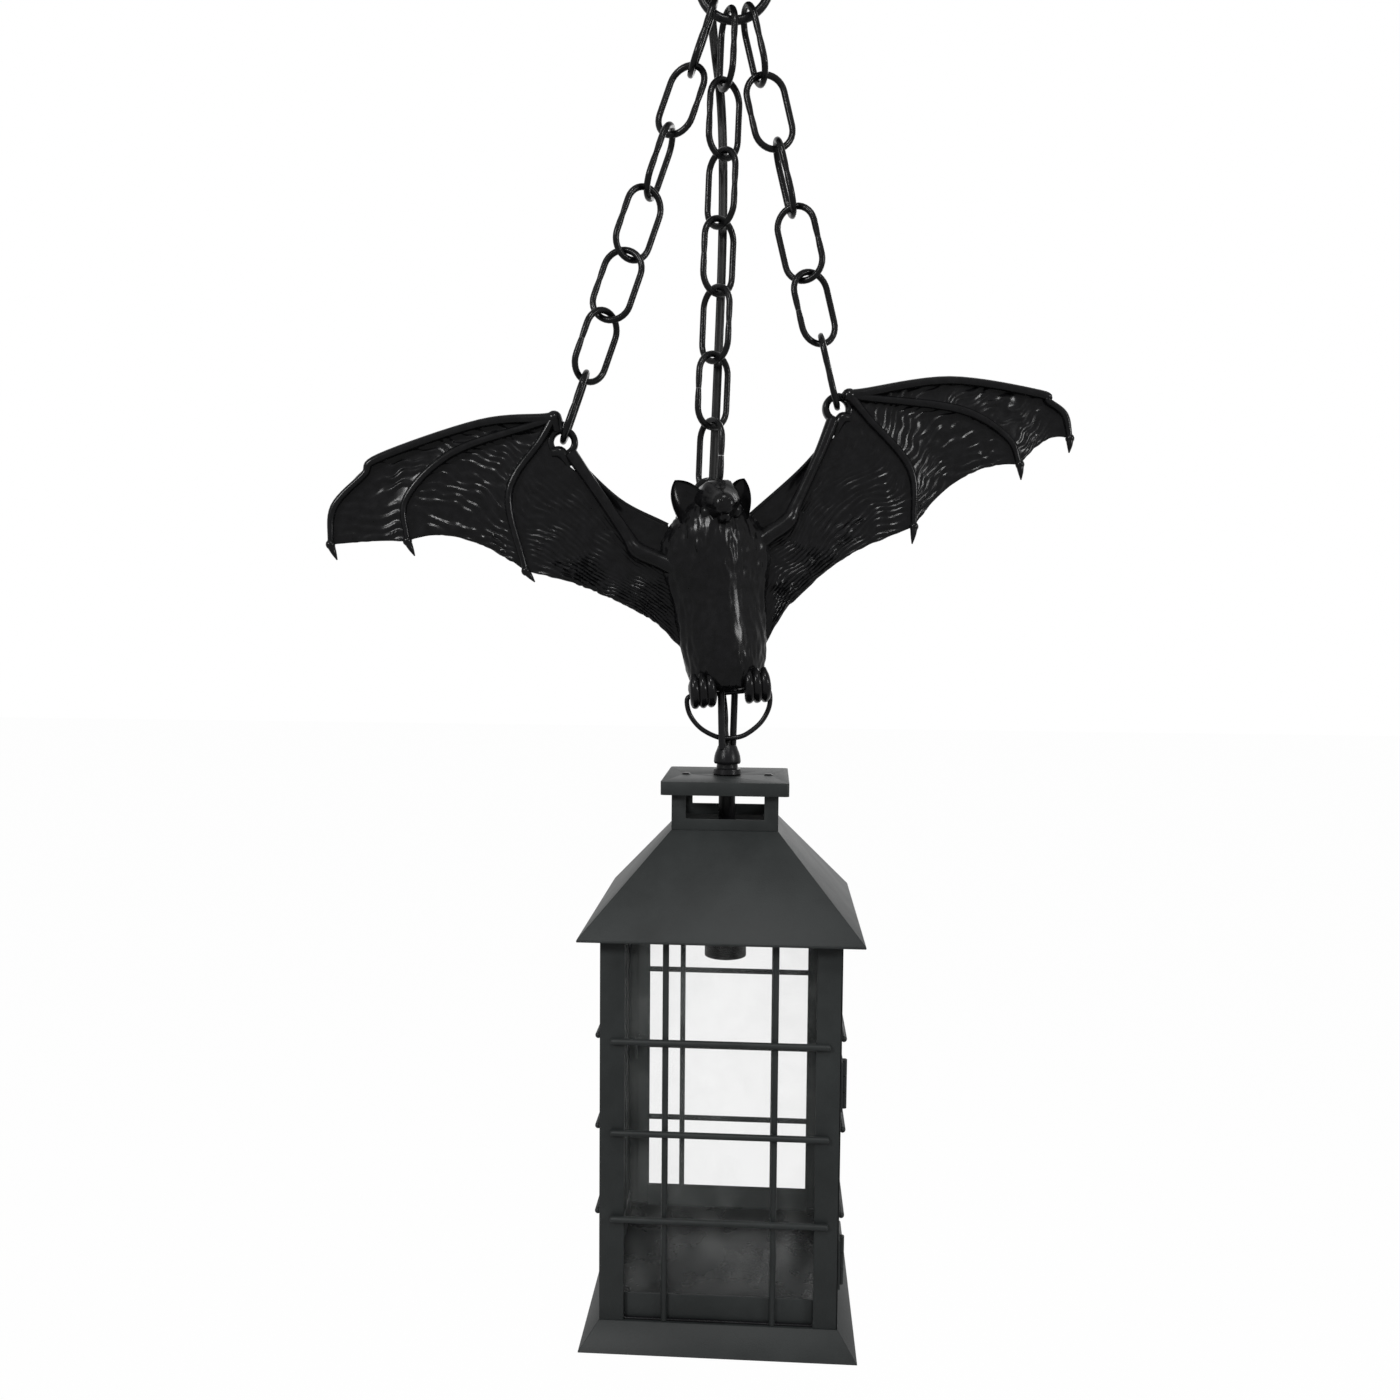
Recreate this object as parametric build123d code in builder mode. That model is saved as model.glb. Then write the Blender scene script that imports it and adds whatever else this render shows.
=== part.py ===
from build123d import *
import os
from math import asin, atan2, cos, degrees, hypot, pi, radians, sin, tan

# Pendant lantern carried by a cast bat on three chains. Millimetres, +Z up.
# The origin is the middle of the canopy's ceiling face, +X is right and -Y is the front.

os.makedirs("parts", exist_ok=True)

# Sheet metal and clearances
sheet = 1.2
clear = 0.4
running = 0.06

# Ceiling canopy and its loop
canopy_d = 120.0
canopy_depth = 22.0
screw_spacing = 88.9
screw_hole_d = 4.6
eye_wire = 5.0
eye_r = 20.0
eye_neck = 4.0
eye_clear = 0.9
collar_d = 18.0
collar_h = 6.0
bushing_x = -16.0
bushing_y = 27.0
bushing_d = 10.0

# Chain links, each chain's own drawn to the length at which it hangs tight
link_left = 36.9
link_right = 37.4
link_centre = 37.8
link_width = 18.4
link_wire = 3.8
link_slit = 0.5
left_hang = -40.0
right_hang = 22.0
centre_hang = -10.0

# Bat casting, in its own axes: right, up from the foot pin and forward
feet_drop = 377.0
bat_turn = 8.5
bat_lean = 5.7
wing_plate = 2.6
lug_hole_r = 4.8
lug_seat = 2.3
lug_r = 8.8
lug_depth = 6.6
lug_lead = 0.9
arm_r = 3.4
back_depth = 12.0
tab_hole = (0.5, 116.0)
tab_r = 9.5
tab_depth = 4.0
tab_back = 15.0
slot_half = 7.4
slot_top = 21.0
slot_front = 10.0
foot_reach = 20.5

# Foot pin, foot ring and lantern loop
pin_d = 3.2
ring_wire = 2.9
ring_half = 24.5
ring_drop = 27.2
loop_wire = 4.0
loop_r = 6.5
loop_turn = 35.0
loop_clear = 1.0
bell_drop = 30.5
bell_h = 11.0
bell_d = 15.7
nut_d = 16.6
nut_h = 4.2
pipe_d = 9.7
pipe_bore = 6.6

# Lantern, from the top cap down
cap_drop = 48.1
cap_w = 71.5
cap_h = 7.5
vent_w = 59.8
vent_h = 20.3
vent_window_w = 44.0
vent_window_h = 13.5
roof_top_w = 60.0
eave_w = 152.0
roof_h = 51.6
body_w = 130.0
body_h = 213.2
base_w = 150.4
base_h = 12.9
base_ledge = 10.0
post_w = 13.6
top_rail = 12.0
bottom_rail = 14.5
return_w = 6.5

# Bars, glass and clips
bar_d = 4.0
bar_x = 29.5
bar_len = 118.0
bar_drops = (57.1, 107.5, 155.5)
bar_touch = 0.02
glass_t = 2.0
glass_w = 115.0
clip_t = 0.6
clip_h = 14.0

# Door, hinges and latch
door_gap = 0.5
door_post = 10.5
hinge_h = 27.0
hinge_drops = (66.0, 164.0)
knuckle_r = 1.6
hinge_pin_r = 0.7
leaf_t = 0.8
latch_drop = 82.0
latch_len = 17.0
latch_w = 6.6
latch_t = 1.5
knob_drop = 130.0

# Lamp socket
socket_d = 24.4
socket_rim_drop = 27.2
socket_h = 34.0
socket_bore_r = 6.3
shell_t = 0.8
shell_len = 22.0

# Lamp cord
cord_d = 4.0
cord_behind = 10.5
cord_rest = 38.0

# Heights worked out from the sizes above
eye_z = -(canopy_depth + collar_h + eye_neck + eye_r)
feet_z = eye_z - eye_r - feet_drop
cap_z = feet_z - cap_drop
vent_z = cap_z - cap_h - vent_h
eave_z = vent_z - roof_h
body_top = eave_z - sheet
base_z = eave_z - body_h
floor_z = base_z + sheet
half = body_w / 2
window_top = body_top - top_rail
window_low = base_z + bottom_rail
window_half = half - post_w
bar_back = half - bar_touch - bar_d / 2
glass_face = bar_back - bar_d / 2
socket_low = eave_z - socket_rim_drop
socket_top = socket_low + socket_h
bell_top = feet_z - bell_drop
bell_low = bell_top - bell_h
nut_top = cap_z + nut_h
front, right_side, rear, left_side = 0, 90, 180, 270


def bat_axis(a, b, c):
    """A direction given along the bat's right, up and forward axes."""
    lean, turn = radians(bat_lean), radians(bat_turn)
    x = a * cos(lean) - b * sin(lean)
    z = a * sin(lean) + b * cos(lean)
    return Vector(x * cos(turn) + c * sin(turn), x * sin(turn) - c * cos(turn), z)


def bat_point(a, b, c=0.0):
    return bat_axis(a, b, c) + Vector(0, 0, feet_z)


def bat_plane(c=0.0):
    """The plane of the wings, c in front of the foot pin."""
    return Plane(bat_point(0, 0, c), x_dir=bat_axis(1, 0, 0), z_dir=bat_axis(0, 0, 1))


def level(z, angle=0.0):
    """A level plane whose x runs along one side of the lantern and whose y points inward."""
    turn = radians(angle)
    return Plane((0, 0, z), x_dir=(cos(turn), sin(turn), 0), z_dir=(0, 0, 1))


def side_point(angle, along, inward, z):
    turn = radians(angle)
    x = along * cos(turn) - inward * sin(turn)
    y = along * sin(turn) + inward * cos(turn)
    return Vector(x, y, z)


def between(p, q, share=0.5):
    return (p[0] + (q[0] - p[0]) * share, p[1] + (q[1] - p[1]) * share)


def block(angle, along, inward, low, high, mode=Mode.ADD):
    """A box on one side of the lantern, from ranges along it, inward from its axis and up."""
    with BuildSketch(level(low, angle)) as foot:
        with Locations((sum(along) / 2, sum(inward) / 2)):
            Rectangle(abs(along[1] - along[0]), abs(inward[1] - inward[0]))
    extrude(foot.sketch, amount=high - low, mode=mode)


def rod(start, end, r, tip=0.0):
    """A round bar, with its ends eased by tip."""
    run = end - start
    way = run.normalized()
    with BuildSketch(Plane(start + way * tip, z_dir=run)) as disc:
        Circle(r)
    extrude(disc.sketch, amount=run.length - 2 * tip)
    if tip:
        cone(start + way * tip, start, r, r - tip)
        cone(end - way * tip, end, r, r - tip)


def cone(start, end, r0, r1):
    """A round taper between two points."""
    run = end - start
    with Locations(Plane(start, z_dir=run).location):
        Cone(r0, r1, run.length, align=(Align.CENTER, Align.CENTER, Align.MIN))


def tube_along(points, radii, d):
    """A round cord along straight runs joined by tangent arcs."""
    with BuildLine() as path:
        FilletPolyline(*points, radius=radii)
    wire = path.wires()[0]
    with BuildSketch(Plane(wire @ 0, z_dir=wire % 0)) as disc:
        RegularPolygon(1.03 * d / 2, 8)
    sweep(disc.sketch, path=wire)


def bent(places, radii, sides=8):
    """A wire or bone with flats, through the planes given, of a half width at each."""
    sections = []
    for place, r in zip(places, radii):
        with BuildSketch(place) as section:
            RegularPolygon(1.03 * r, sides, rotation=180 / sides)
        sections.append(section.sketch)
    loft(sections, ruled=True)


def along(points, x_dir):
    """Planes across a bent run at each of its points."""
    ways = [(after - before).normalized() for before, after in zip(points, points[1:])]
    ways = [ways[0]] + ways + [ways[-1]]
    return [
        Plane(here, x_dir=x_dir, z_dir=before + after) for here, before, after in zip(points, ways, ways[1:])
    ]


def corner_radii(points):
    """The arc at each corner of a cord, near half of the shorter run beside it."""
    radii = []
    for before, here, after in zip(points, points[1:], points[2:]):
        turn = radians((here - before).get_angle(after - here))
        run = min((here - before).length, (after - here).length)
        radii.append(0.45 * run / tan(turn / 2))
    return radii


def eye_point(angle):
    """The middle of the loop's wire, at an angle to the right of its lowest point."""
    turn = radians(angle)
    return Vector(eye_r * sin(turn), 0, eye_z - eye_r * cos(turn))


def chain(inner, hang, hole, spins):
    """Places of the links from the canopy's loop to a hole in the casting."""
    seat = link_width / 2 - eye_wire / 2 - eye_clear
    bar = eye_point(hang)
    run = (hole - bar).normalized()
    first = bar + run * (seat + inner / 2 - link_width / 2)
    last = hole - run * (lug_hole_r - lug_seat + inner / 2)
    side = (Vector(1, 0, 0) - run * run.X).normalized()
    depth = run.cross(side)
    step = (last - first) * (1 / (len(spins) - 1))
    places = []
    for number, spin in enumerate(spins):
        across = side * cos(radians(spin)) + depth * sin(radians(spin))
        places.append(Plane(first + step * number, x_dir=across, z_dir=run.cross(across)))
    return places


# Ceiling canopy

rim = canopy_d / 2
with BuildPart() as canopy:
    with BuildSketch(Plane.XZ):
        with BuildLine():
            Polyline(
                (rim, 0), (rim - 1.5, 6 - canopy_depth), (rim - 8, -canopy_depth),
                (eye_wire / 2 + 0.5, -canopy_depth), (eye_wire / 2 + 0.5, sheet - canopy_depth),
                (rim - 8.6, sheet - canopy_depth), (rim - 2.8, 6.5 - canopy_depth), (rim - 1.3, 0),
                (rim, 0),
            )
        make_face()
    revolve(axis=Axis.Z)
    with BuildSketch(Plane.XY.offset(-canopy_depth)):
        with Locations((screw_spacing / 2, 0), (-screw_spacing / 2, 0)):
            Circle(screw_hole_d / 2)
        with Locations((bushing_x, bushing_y)):
            Circle(bushing_d / 2)
    extrude(amount=2 * sheet, mode=Mode.SUBTRACT)
canopy.part.label = "canopy_dish"
export_step(canopy.part, "parts/canopy_dish.step")

with BuildPart() as eye:
    with BuildSketch(Plane.XY.offset(12 - canopy_depth)):
        Circle(eye_wire / 2)
    extrude(amount=eye_z + eye_r + canopy_depth - 12)
    with BuildSketch(Plane.XY.offset(-canopy_depth - collar_h)):
        Circle(eye_wire / 2 + 1.5)
    extrude(amount=eye_z + eye_r - eye_wire / 2 + canopy_depth + collar_h)
    turns = [radians(172 - 344 * number / 24) for number in range(25)]
    places = [
        Plane(eye_point(degrees(turn)), x_dir=(0, 1, 0), z_dir=(cos(turn), 0, sin(turn))) for turn in turns
    ]
    bent(places, [eye_wire / 2] * 25)
eye.part.label = "canopy_loop"
export_step(eye.part, "parts/canopy_loop.step")

with BuildPart() as collar:
    cone(Vector(0, 0, -canopy_depth), Vector(0, 0, -canopy_depth - collar_h), collar_d / 2, collar_d / 2 - 3)
    with BuildSketch(Plane.XY.offset(-canopy_depth)):
        Circle(eye_wire / 2)
    extrude(amount=-collar_h, mode=Mode.SUBTRACT)
collar.part.label = "loop_collar"
export_step(collar.part, "parts/loop_collar.step")

with BuildPart() as canopy_nut:
    with BuildSketch(Plane.XY.offset(sheet - canopy_depth)):
        RegularPolygon(6.5, 6)
        Circle(eye_wire / 2, mode=Mode.SUBTRACT)
    extrude(amount=4.5)
canopy_nut.part.label = "canopy_nut"
export_step(canopy_nut.part, "parts/canopy_nut.step")

with BuildPart() as bushing:
    bushing_top = Vector(bushing_x, bushing_y, -canopy_depth)
    cone(bushing_top, bushing_top - Vector(0, 0, 4), bushing_d / 2 + 2, bushing_d / 2 + 0.6)
    with BuildSketch(Plane.XY.offset(-canopy_depth)):
        with Locations((bushing_x, bushing_y)):
            Circle(bushing_d / 2)
    extrude(amount=7)
    with BuildSketch(Plane.XY.offset(-canopy_depth - 4)):
        with Locations((bushing_x, bushing_y)):
            Circle(1.05 * cord_d / 2)
    extrude(amount=11, mode=Mode.SUBTRACT)
bushing.part.label = "cord_bushing"
export_step(bushing.part, "parts/cord_bushing.step")

# Outlines of the wings, right and up from the foot pin

left_wing = {
    "neck": (-25.8, 98.9), "edge": (-52.0, 115.5), "edge_end": (-75.0, 141.0),
    "hole": (-81.0, 150.5), "crook": (-78.0, 161.5), "wrist": (-85.3, 167.4),
    "lead": (-126.0, 164.0), "lead_end": (-183.0, 149.5), "bend": (-211.0, 124.5),
    "tip": (-219.0, 105.0), "tip_in": (-211.3, 102.8), "tip_claw": (-212.5, 95.0),
    "scallop_2": (-192.5, 104.0), "third_out": (-178.0, 102.7), "third_in": (-167.7, 101.8),
    "third_claw": (-169.7, 93.6), "scallop_3": (-142.7, 101.5), "fourth_out": (-112.7, 80.2),
    "fourth_in": (-104.9, 79.5), "fourth_claw": (-104.4, 73.2), "scallop_4": (-79.0, 69.3),
    "flank": (-41.0, 46.9), "trail": (-22.8, 25.6), "elbow": (-44.9, 86.3),
    "arm": (-67.0, 126.0), "third_mid": (-143.0, 149.0), "third_low": (-171.0, 126.0),
    "fourth_mid": (-114.0, 124.0),
}
right_wing = {
    "neck": (21.8, 100.6), "edge": (53.1, 123.9), "edge_end": (71.0, 141.0),
    "hole": (78.5, 157.5), "crook": (78.0, 164.5), "wrist": (87.0, 165.5),
    "lead": (145.0, 168.1), "lead_end": (198.3, 156.4), "bend": (212.5, 143.2),
    "tip": (218.3, 130.0), "tip_in": (210.9, 128.8), "tip_claw": (213.4, 121.0),
    "scallop_2": (201.3, 130.0), "third_out": (187.7, 118.4), "third_in": (179.0, 115.0),
    "third_claw": (183.3, 107.7), "scallop_3": (150.0, 112.5), "fourth_out": (121.8, 89.4),
    "fourth_in": (112.9, 82.6), "fourth_claw": (115.4, 76.0), "scallop_4": (78.2, 72.8),
    "flank": (40.6, 47.1), "trail": (22.5, 22.5), "elbow": (43.6, 95.4),
    "arm": (64.0, 130.0), "third_mid": (150.0, 151.0), "third_low": (177.0, 133.0),
    "fourth_mid": (118.0, 119.0),
}
lug_c = lug_depth / 2 - wing_plate - 0.6
lug_middle = lug_c - lug_depth / 2 + lug_lead
left_hole = bat_point(*left_wing["hole"], lug_middle)
right_hole = bat_point(*right_wing["hole"], lug_middle)
tab_centre = bat_point(*tab_hole, tab_depth / 2 - tab_back)

# Chains: the turn of each link about its chain, from the canopy down

left_spins = (80, 25, 95, 140, 188, 130, 80)
right_spins = (75, 165, 85, 20, 150, 95)
centre_spins = (68, 135, 45, 135, 45, 135, 52)
left_places = chain(link_left, left_hang, left_hole, left_spins)
right_places = chain(link_right, right_hang, right_hole, right_spins)
centre_places = chain(link_centre, centre_hang, tab_centre, centre_spins)


def chain_link(inner):
    """One oval link of bent wire, with the slit where its ends meet on one side."""
    bend_r = (link_width + link_wire) / 2
    side = (inner - link_width) / 2
    places = []
    for end in (1, -1):
        places.append(Plane((bend_r, end * link_slit / 2, 0), x_dir=(0, 0, 1), z_dir=(0, 1, 0)))
        for number in range(7):
            turn = radians(30 * number)
            reach = bend_r if number in (0, 6) else bend_r / cos(radians(15))
            bend = (reach * cos(turn), end * (side + reach * sin(turn)), 0)
            places.append(Plane(bend, x_dir=(0, 0, 1), z_dir=(-end * sin(turn), cos(turn), 0)))
    with BuildPart() as link:
        bent(places[:8] + places[:7:-1], [link_wire / 2] * 16)
    return link.part


with BuildPart() as chain_left:
    with Locations(*left_places):
        add(chain_link(link_left))
chain_left.part.label = "chain_left"
export_step(chain_left.part, "parts/chain_left.step")

with BuildPart() as chain_right:
    with Locations(*right_places):
        add(chain_link(link_right))
chain_right.part.label = "chain_right"
export_step(chain_right.part, "parts/chain_right.step")

with BuildPart() as chain_centre:
    with Locations(*centre_places):
        add(chain_link(link_centre))
chain_centre.part.label = "chain_centre"
export_step(chain_centre.part, "parts/chain_centre.step")

# Bat casting

def bone(points, radii):
    """Tapering bones laid end to end on the face of a wing."""
    bent(along([bat_point(*point) for point in points], bat_axis(0, 0, 1)), radii)


def wing(w):
    """Adds one wing: the skin's plate, the lug for the chain, the arm, the fingers and the claws."""
    side = 1 if w["tip"][0] > 0 else -1
    with BuildSketch(bat_plane(-wing_plate)) as skin:
        with BuildLine():
            ThreePointArc(w["neck"], w["edge"], w["edge_end"])
            Polyline(w["edge_end"], w["crook"], w["wrist"])
            ThreePointArc(w["wrist"], w["lead"], w["lead_end"])
            ThreePointArc(w["lead_end"], w["bend"], w["tip"])
            Line(w["tip"], w["tip_in"])
            ThreePointArc(w["tip_in"], w["scallop_2"], w["third_out"])
            Line(w["third_out"], w["third_in"])
            ThreePointArc(w["third_in"], w["scallop_3"], w["fourth_out"])
            Line(w["fourth_out"], w["fourth_in"])
            ThreePointArc(w["fourth_in"], w["scallop_4"], w["flank"])
            Polyline(w["flank"], w["trail"], (side * 9, 30), (side * 9, 96), w["neck"])
        make_face()
    extrude(skin.sketch, amount=wing_plate)
    with BuildSketch(bat_plane(lug_c - lug_depth)) as lug:
        with Locations(w["hole"]):
            Circle(lug_r)
    extrude(lug.sketch, amount=lug_depth)
    hub = between(w["hole"], w["wrist"], 0.8)
    third = between(w["third_out"], w["third_in"])
    fourth = between(w["fourth_out"], w["fourth_in"])
    tip = between(w["tip"], w["tip_in"])
    lead = between(w["lead"], hub, 0.04)
    bone([(side * 14, w["elbow"][1] - 4), w["elbow"], w["arm"], hub], [5.2, 4.0, arm_r + 0.2, arm_r])
    bone([hub, lead, w["lead_end"], w["bend"], tip], [arm_r, 2.9, 2.5, 2.2, 1.8])
    bone([hub, w["third_mid"], w["third_low"], third], [3.0, 2.4, 2.1, 1.7])
    bone([hub, w["fourth_mid"], fourth], [3.0, 2.3, 1.7])
    for root, end in ((tip, "tip_claw"), (third, "third_claw"), (fourth, "fourth_claw")):
        bone([root, w[end]], [2.4, 0.5])
    with BuildSketch(bat_plane(20)) as eye:
        with Locations(w["hole"]):
            Circle(lug_hole_r)
    extrude(eye.sketch, amount=-40, mode=Mode.SUBTRACT)


with BuildPart() as bat:
    with BuildSketch(bat_plane()):
        with BuildLine():
            Polyline(
                (0, 102), (0, 4), (11, 4), (17, 6.5), (21.5, 12), (23, 21), (21, 34), (18.5, 46),
                (18, 60), (20.5, 71), (21, 82), (19.5, 91), (16, 98), (0, 102),
            )
        make_face()
    revolve(axis=Axis(bat_point(0, 0), bat_axis(0, 1, 0)))
    with Locations(bat_point(2.5, 107.5, 9)):
        Sphere(14.2)
    cone(bat_point(3.5, 105, 12), bat_point(5, 101.5, 29), 10.0, 5.0)
    for tip_a, tip_b, root in ((-19.6, 122.3, (-18, 103.5)), (18.8, 119.8, (19.5, 101))):
        side = 1 if tip_a > 0 else -1
        with BuildSketch(bat_plane(4)):
            with BuildLine():
                ThreePointArc(root, (tip_a * 1.12, tip_b - 9), (tip_a, tip_b))
                ThreePointArc((tip_a, tip_b), (tip_a - side * 5, tip_b - 3), (tip_a - side * 9, tip_b - 8))
                Polyline((tip_a - side * 9, tip_b - 8), (side * 5, 104), root)
            make_face()
        extrude(amount=5)
    wing(left_wing)
    wing(right_wing)
    with BuildSketch(bat_plane(-60)):
        with Locations((0, 60)):
            Rectangle(80, 200)
    extrude(amount=60 - back_depth, mode=Mode.SUBTRACT)
    with BuildSketch(bat_plane(-tab_back)):
        with Locations(tab_hole):
            Circle(tab_r)
        with Locations((tab_hole[0], tab_hole[1] - 16)):
            Rectangle(2 * tab_r, 32)
        with Locations(tab_hole):
            Circle(lug_hole_r, mode=Mode.SUBTRACT)
    extrude(amount=tab_depth)
    with BuildSketch(bat_plane(slot_front)):
        with Locations((0, slot_top - 20)):
            Rectangle(2 * slot_half, 40)
    extrude(amount=-60, mode=Mode.SUBTRACT)
    for side in (1, -1):
        with BuildSketch(bat_plane(-6)):
            with BuildLine():
                Polyline(
                    (side * slot_half, 14), (side * slot_half, -2), (side * 10, -4), (side * 16, -5),
                    (side * foot_reach, -1), (side * foot_reach, 12), (side * slot_half, 14),
                )
            make_face()
        extrude(amount=14)
        for toe in (9.6, 13.4, 17.2):
            toe_points = [
                bat_point(side * toe, 3, 6), bat_point(side * toe, -4, 9.5), bat_point(side * toe, -9, 5),
            ]
            bent(along(toe_points, bat_axis(1, 0, 0)), [2.2, 1.8, 0.5])
    with BuildSketch(Plane(bat_point(-40, 0), z_dir=bat_axis(1, 0, 0))):
        Circle(pin_d / 2)
    extrude(amount=80, mode=Mode.SUBTRACT)
bat.part.label = "bat_casting"
export_step(bat.part, "parts/bat_casting.step")

# Foot pin and foot ring

with BuildPart() as foot_pin:
    rod(bat_point(-13, 0), bat_point(13, 0), pin_d / 2)
foot_pin.part.label = "foot_pin"
export_step(foot_pin.part, "parts/foot_pin.step")

ring_points = [
    (-14.0, 0), (-ring_half, 0), (-ring_half + 2.5, -17), (0, -ring_drop),
    (ring_half - 2.5, -17), (ring_half, 0), (14.0, 0),
]
with BuildPart() as foot_ring:
    with BuildLine(bat_plane()) as ring_path:
        FilletPolyline(*ring_points, radius=[3, 16, 28, 16, 3])
    ring_run = ring_path.wires()[0]
    steps = [number / 36 for number in range(37)]
    ring_places = [Plane(ring_run @ step, x_dir=bat_axis(0, 0, 1), z_dir=ring_run % step) for step in steps]
    bent(ring_places, [ring_wire / 2] * 37)
foot_ring.part.label = "foot_ring"
export_step(foot_ring.part, "parts/foot_ring.step")

# Lantern loop and the pipe that carries the lantern

loop_top = feet_z + pin_d / 2 + loop_clear + loop_wire / 2
loop_bend = loop_top - loop_r
loop_dir = Vector(-sin(radians(loop_turn)), -cos(radians(loop_turn)), 0)
loop_normal = loop_dir.cross(Vector(0, 0, 1))
loop_foot = 5.2
loop_leg = loop_bend - bell_top + 3.2
loop_tilt = asin(loop_r / hypot(loop_foot, loop_leg)) - atan2(loop_foot, loop_leg)


def loop_at(across, up):
    """A point in the plane of the lantern's loop, from the middle of its bend."""
    return Vector(0, 0, loop_bend + up) + loop_dir * across


with BuildPart() as loop:
    with BuildSketch(Plane.XZ):
        with BuildLine():
            Polyline(
                (bell_d / 2 - 3, bell_top), (bell_d / 2 - 2.3, bell_top - 0.6),
                (bell_d / 2 - 0.7, bell_top - 4.5), (bell_d / 2, bell_low + 1.5),
                (bell_d / 2 - 0.6, bell_low), (pipe_d / 2, bell_low),
                (pipe_d / 2, bell_top - 4.5), (pipe_bore / 2, bell_top - 4.5),
                (pipe_bore / 2, bell_top - 3.5), (bell_d / 2 - 3, bell_top),
            )
        make_face()
    revolve(axis=Axis.Z)
    turns = [-loop_tilt + (pi + 2 * loop_tilt) * number / 10 for number in range(11)]
    loop_points = [loop_at(loop_r * cos(turn), loop_r * sin(turn)) for turn in turns]
    loop_points = [loop_at(loop_foot, -loop_leg)] + loop_points + [loop_at(-loop_foot, -loop_leg)]
    bent(along(loop_points, loop_normal), [loop_wire / 2] * 13)
    with BuildSketch(Plane.XY.offset(bell_low)):
        Circle(pipe_bore / 2)
    extrude(amount=bell_h + 2, mode=Mode.SUBTRACT)
loop.part.label = "lantern_loop"
export_step(loop.part, "parts/lantern_loop.step")

with BuildPart() as loop_nut:
    with BuildSketch(Plane.XZ):
        with BuildLine():
            Polyline(
                (pipe_d / 2, cap_z), (nut_d / 2 - 0.7, cap_z), (nut_d / 2, cap_z + 0.9),
                (nut_d / 2 - 0.4, nut_top - 0.6), (6.3, nut_top), (6.0, bell_low), (pipe_d / 2, bell_low),
                (pipe_d / 2, cap_z),
            )
        make_face()
    revolve(axis=Axis.Z)
loop_nut.part.label = "loop_nut"
export_step(loop_nut.part, "parts/loop_nut.step")

pipe_low = socket_top + 8
with BuildPart() as pipe:
    with BuildSketch(Plane.XY.offset(pipe_low)):
        Circle(pipe_d / 2)
        Circle(pipe_bore / 2, mode=Mode.SUBTRACT)
    extrude(amount=bell_top - 4.5 - pipe_low)
pipe.part.label = "threaded_pipe"
export_step(pipe.part, "parts/threaded_pipe.step")

with BuildPart() as pipe_nut:
    with BuildSketch(Plane.XY.offset(cap_z - sheet)):
        RegularPolygon(8.2, 6)
        Circle(pipe_d / 2, mode=Mode.SUBTRACT)
    extrude(amount=-4)
pipe_nut.part.label = "pipe_nut"
export_step(pipe_nut.part, "parts/pipe_nut.step")

# Cap, vent collar, roof and soffit

rivet_x = 24.0
with BuildPart() as cap:
    with BuildSketch(Plane.XY.offset(cap_z)):
        RectangleRounded(cap_w, cap_w, 2)
    extrude(amount=-cap_h)
    with BuildSketch(Plane.XY.offset(cap_z - sheet)):
        RectangleRounded(cap_w - 2 * sheet, cap_w - 2 * sheet, 1)
    extrude(amount=-cap_h, mode=Mode.SUBTRACT)
    with BuildSketch(Plane.XY.offset(cap_z)):
        Circle(pipe_d / 2 + 0.15)
        with Locations((rivet_x, 0), (-rivet_x, 0)):
            Circle(1.5)
    extrude(amount=-2 * sheet, mode=Mode.SUBTRACT)
cap.part.label = "top_cap"
export_step(cap.part, "parts/top_cap.step")

vent_top = cap_z - sheet
vent_in = vent_w / 2 - sheet
with BuildPart() as vent:
    with BuildSketch(Plane.XY.offset(vent_z)):
        Rectangle(vent_w, vent_w)
        Rectangle(2 * vent_in, 2 * vent_in, mode=Mode.SUBTRACT)
    extrude(amount=vent_top - vent_z)
    window_high = cap_z - cap_h - 0.5
    for angle in (front, right_side):
        block(
            angle, (-vent_window_w / 2, vent_window_w / 2), (-vent_w, vent_w),
            window_high - vent_window_h, window_high, Mode.SUBTRACT,
        )
    for side in (1, -1):
        block(front, (side * 18, side * (vent_in + sheet / 2)), (-11, 11), vent_top - sheet, vent_top)
    with BuildSketch(Plane.XY.offset(vent_top)):
        with Locations((rivet_x, 0), (-rivet_x, 0)):
            Circle(1.5)
    extrude(amount=-2 * sheet, mode=Mode.SUBTRACT)
vent.part.label = "vent_collar"
export_step(vent.part, "parts/vent_collar.step")

with BuildPart() as rivets:
    for side in (1, -1):
        with BuildSketch(Plane.XY.offset(vent_top - sheet)):
            with Locations((side * rivet_x, 0)):
                Circle(1.5)
        extrude(amount=2 * sheet)
        with BuildSketch(Plane.XY.offset(cap_z)):
            with Locations((side * rivet_x, 0)):
                Circle(2.6)
        extrude(amount=0.3)
        cone(Vector(side * rivet_x, 0, cap_z + 0.3), Vector(side * rivet_x, 0, cap_z + 0.9), 2.6, 1.8)
        with BuildSketch(Plane.XY.offset(vent_top - sheet)):
            with Locations((side * rivet_x, 0)):
                Circle(2.4)
        extrude(amount=-0.8)
rivets.part.label = "cap_rivets"
export_step(rivets.part, "parts/cap_rivets.step")

with BuildPart() as roof:
    slope = degrees(atan2((eave_w - roof_top_w) / 2, vent_z - eave_z))
    with BuildSketch(Plane.XY.offset(eave_z)):
        Rectangle(eave_w, eave_w)
    extrude(amount=vent_z - eave_z, taper=slope)
    with BuildSketch(Plane.XY.offset(eave_z)):
        Rectangle(eave_w - 2.4 * sheet, eave_w - 2.4 * sheet)
    extrude(amount=vent_z - eave_z, taper=slope, mode=Mode.SUBTRACT)
roof.part.label = "roof"
export_step(roof.part, "parts/roof.step")

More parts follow.
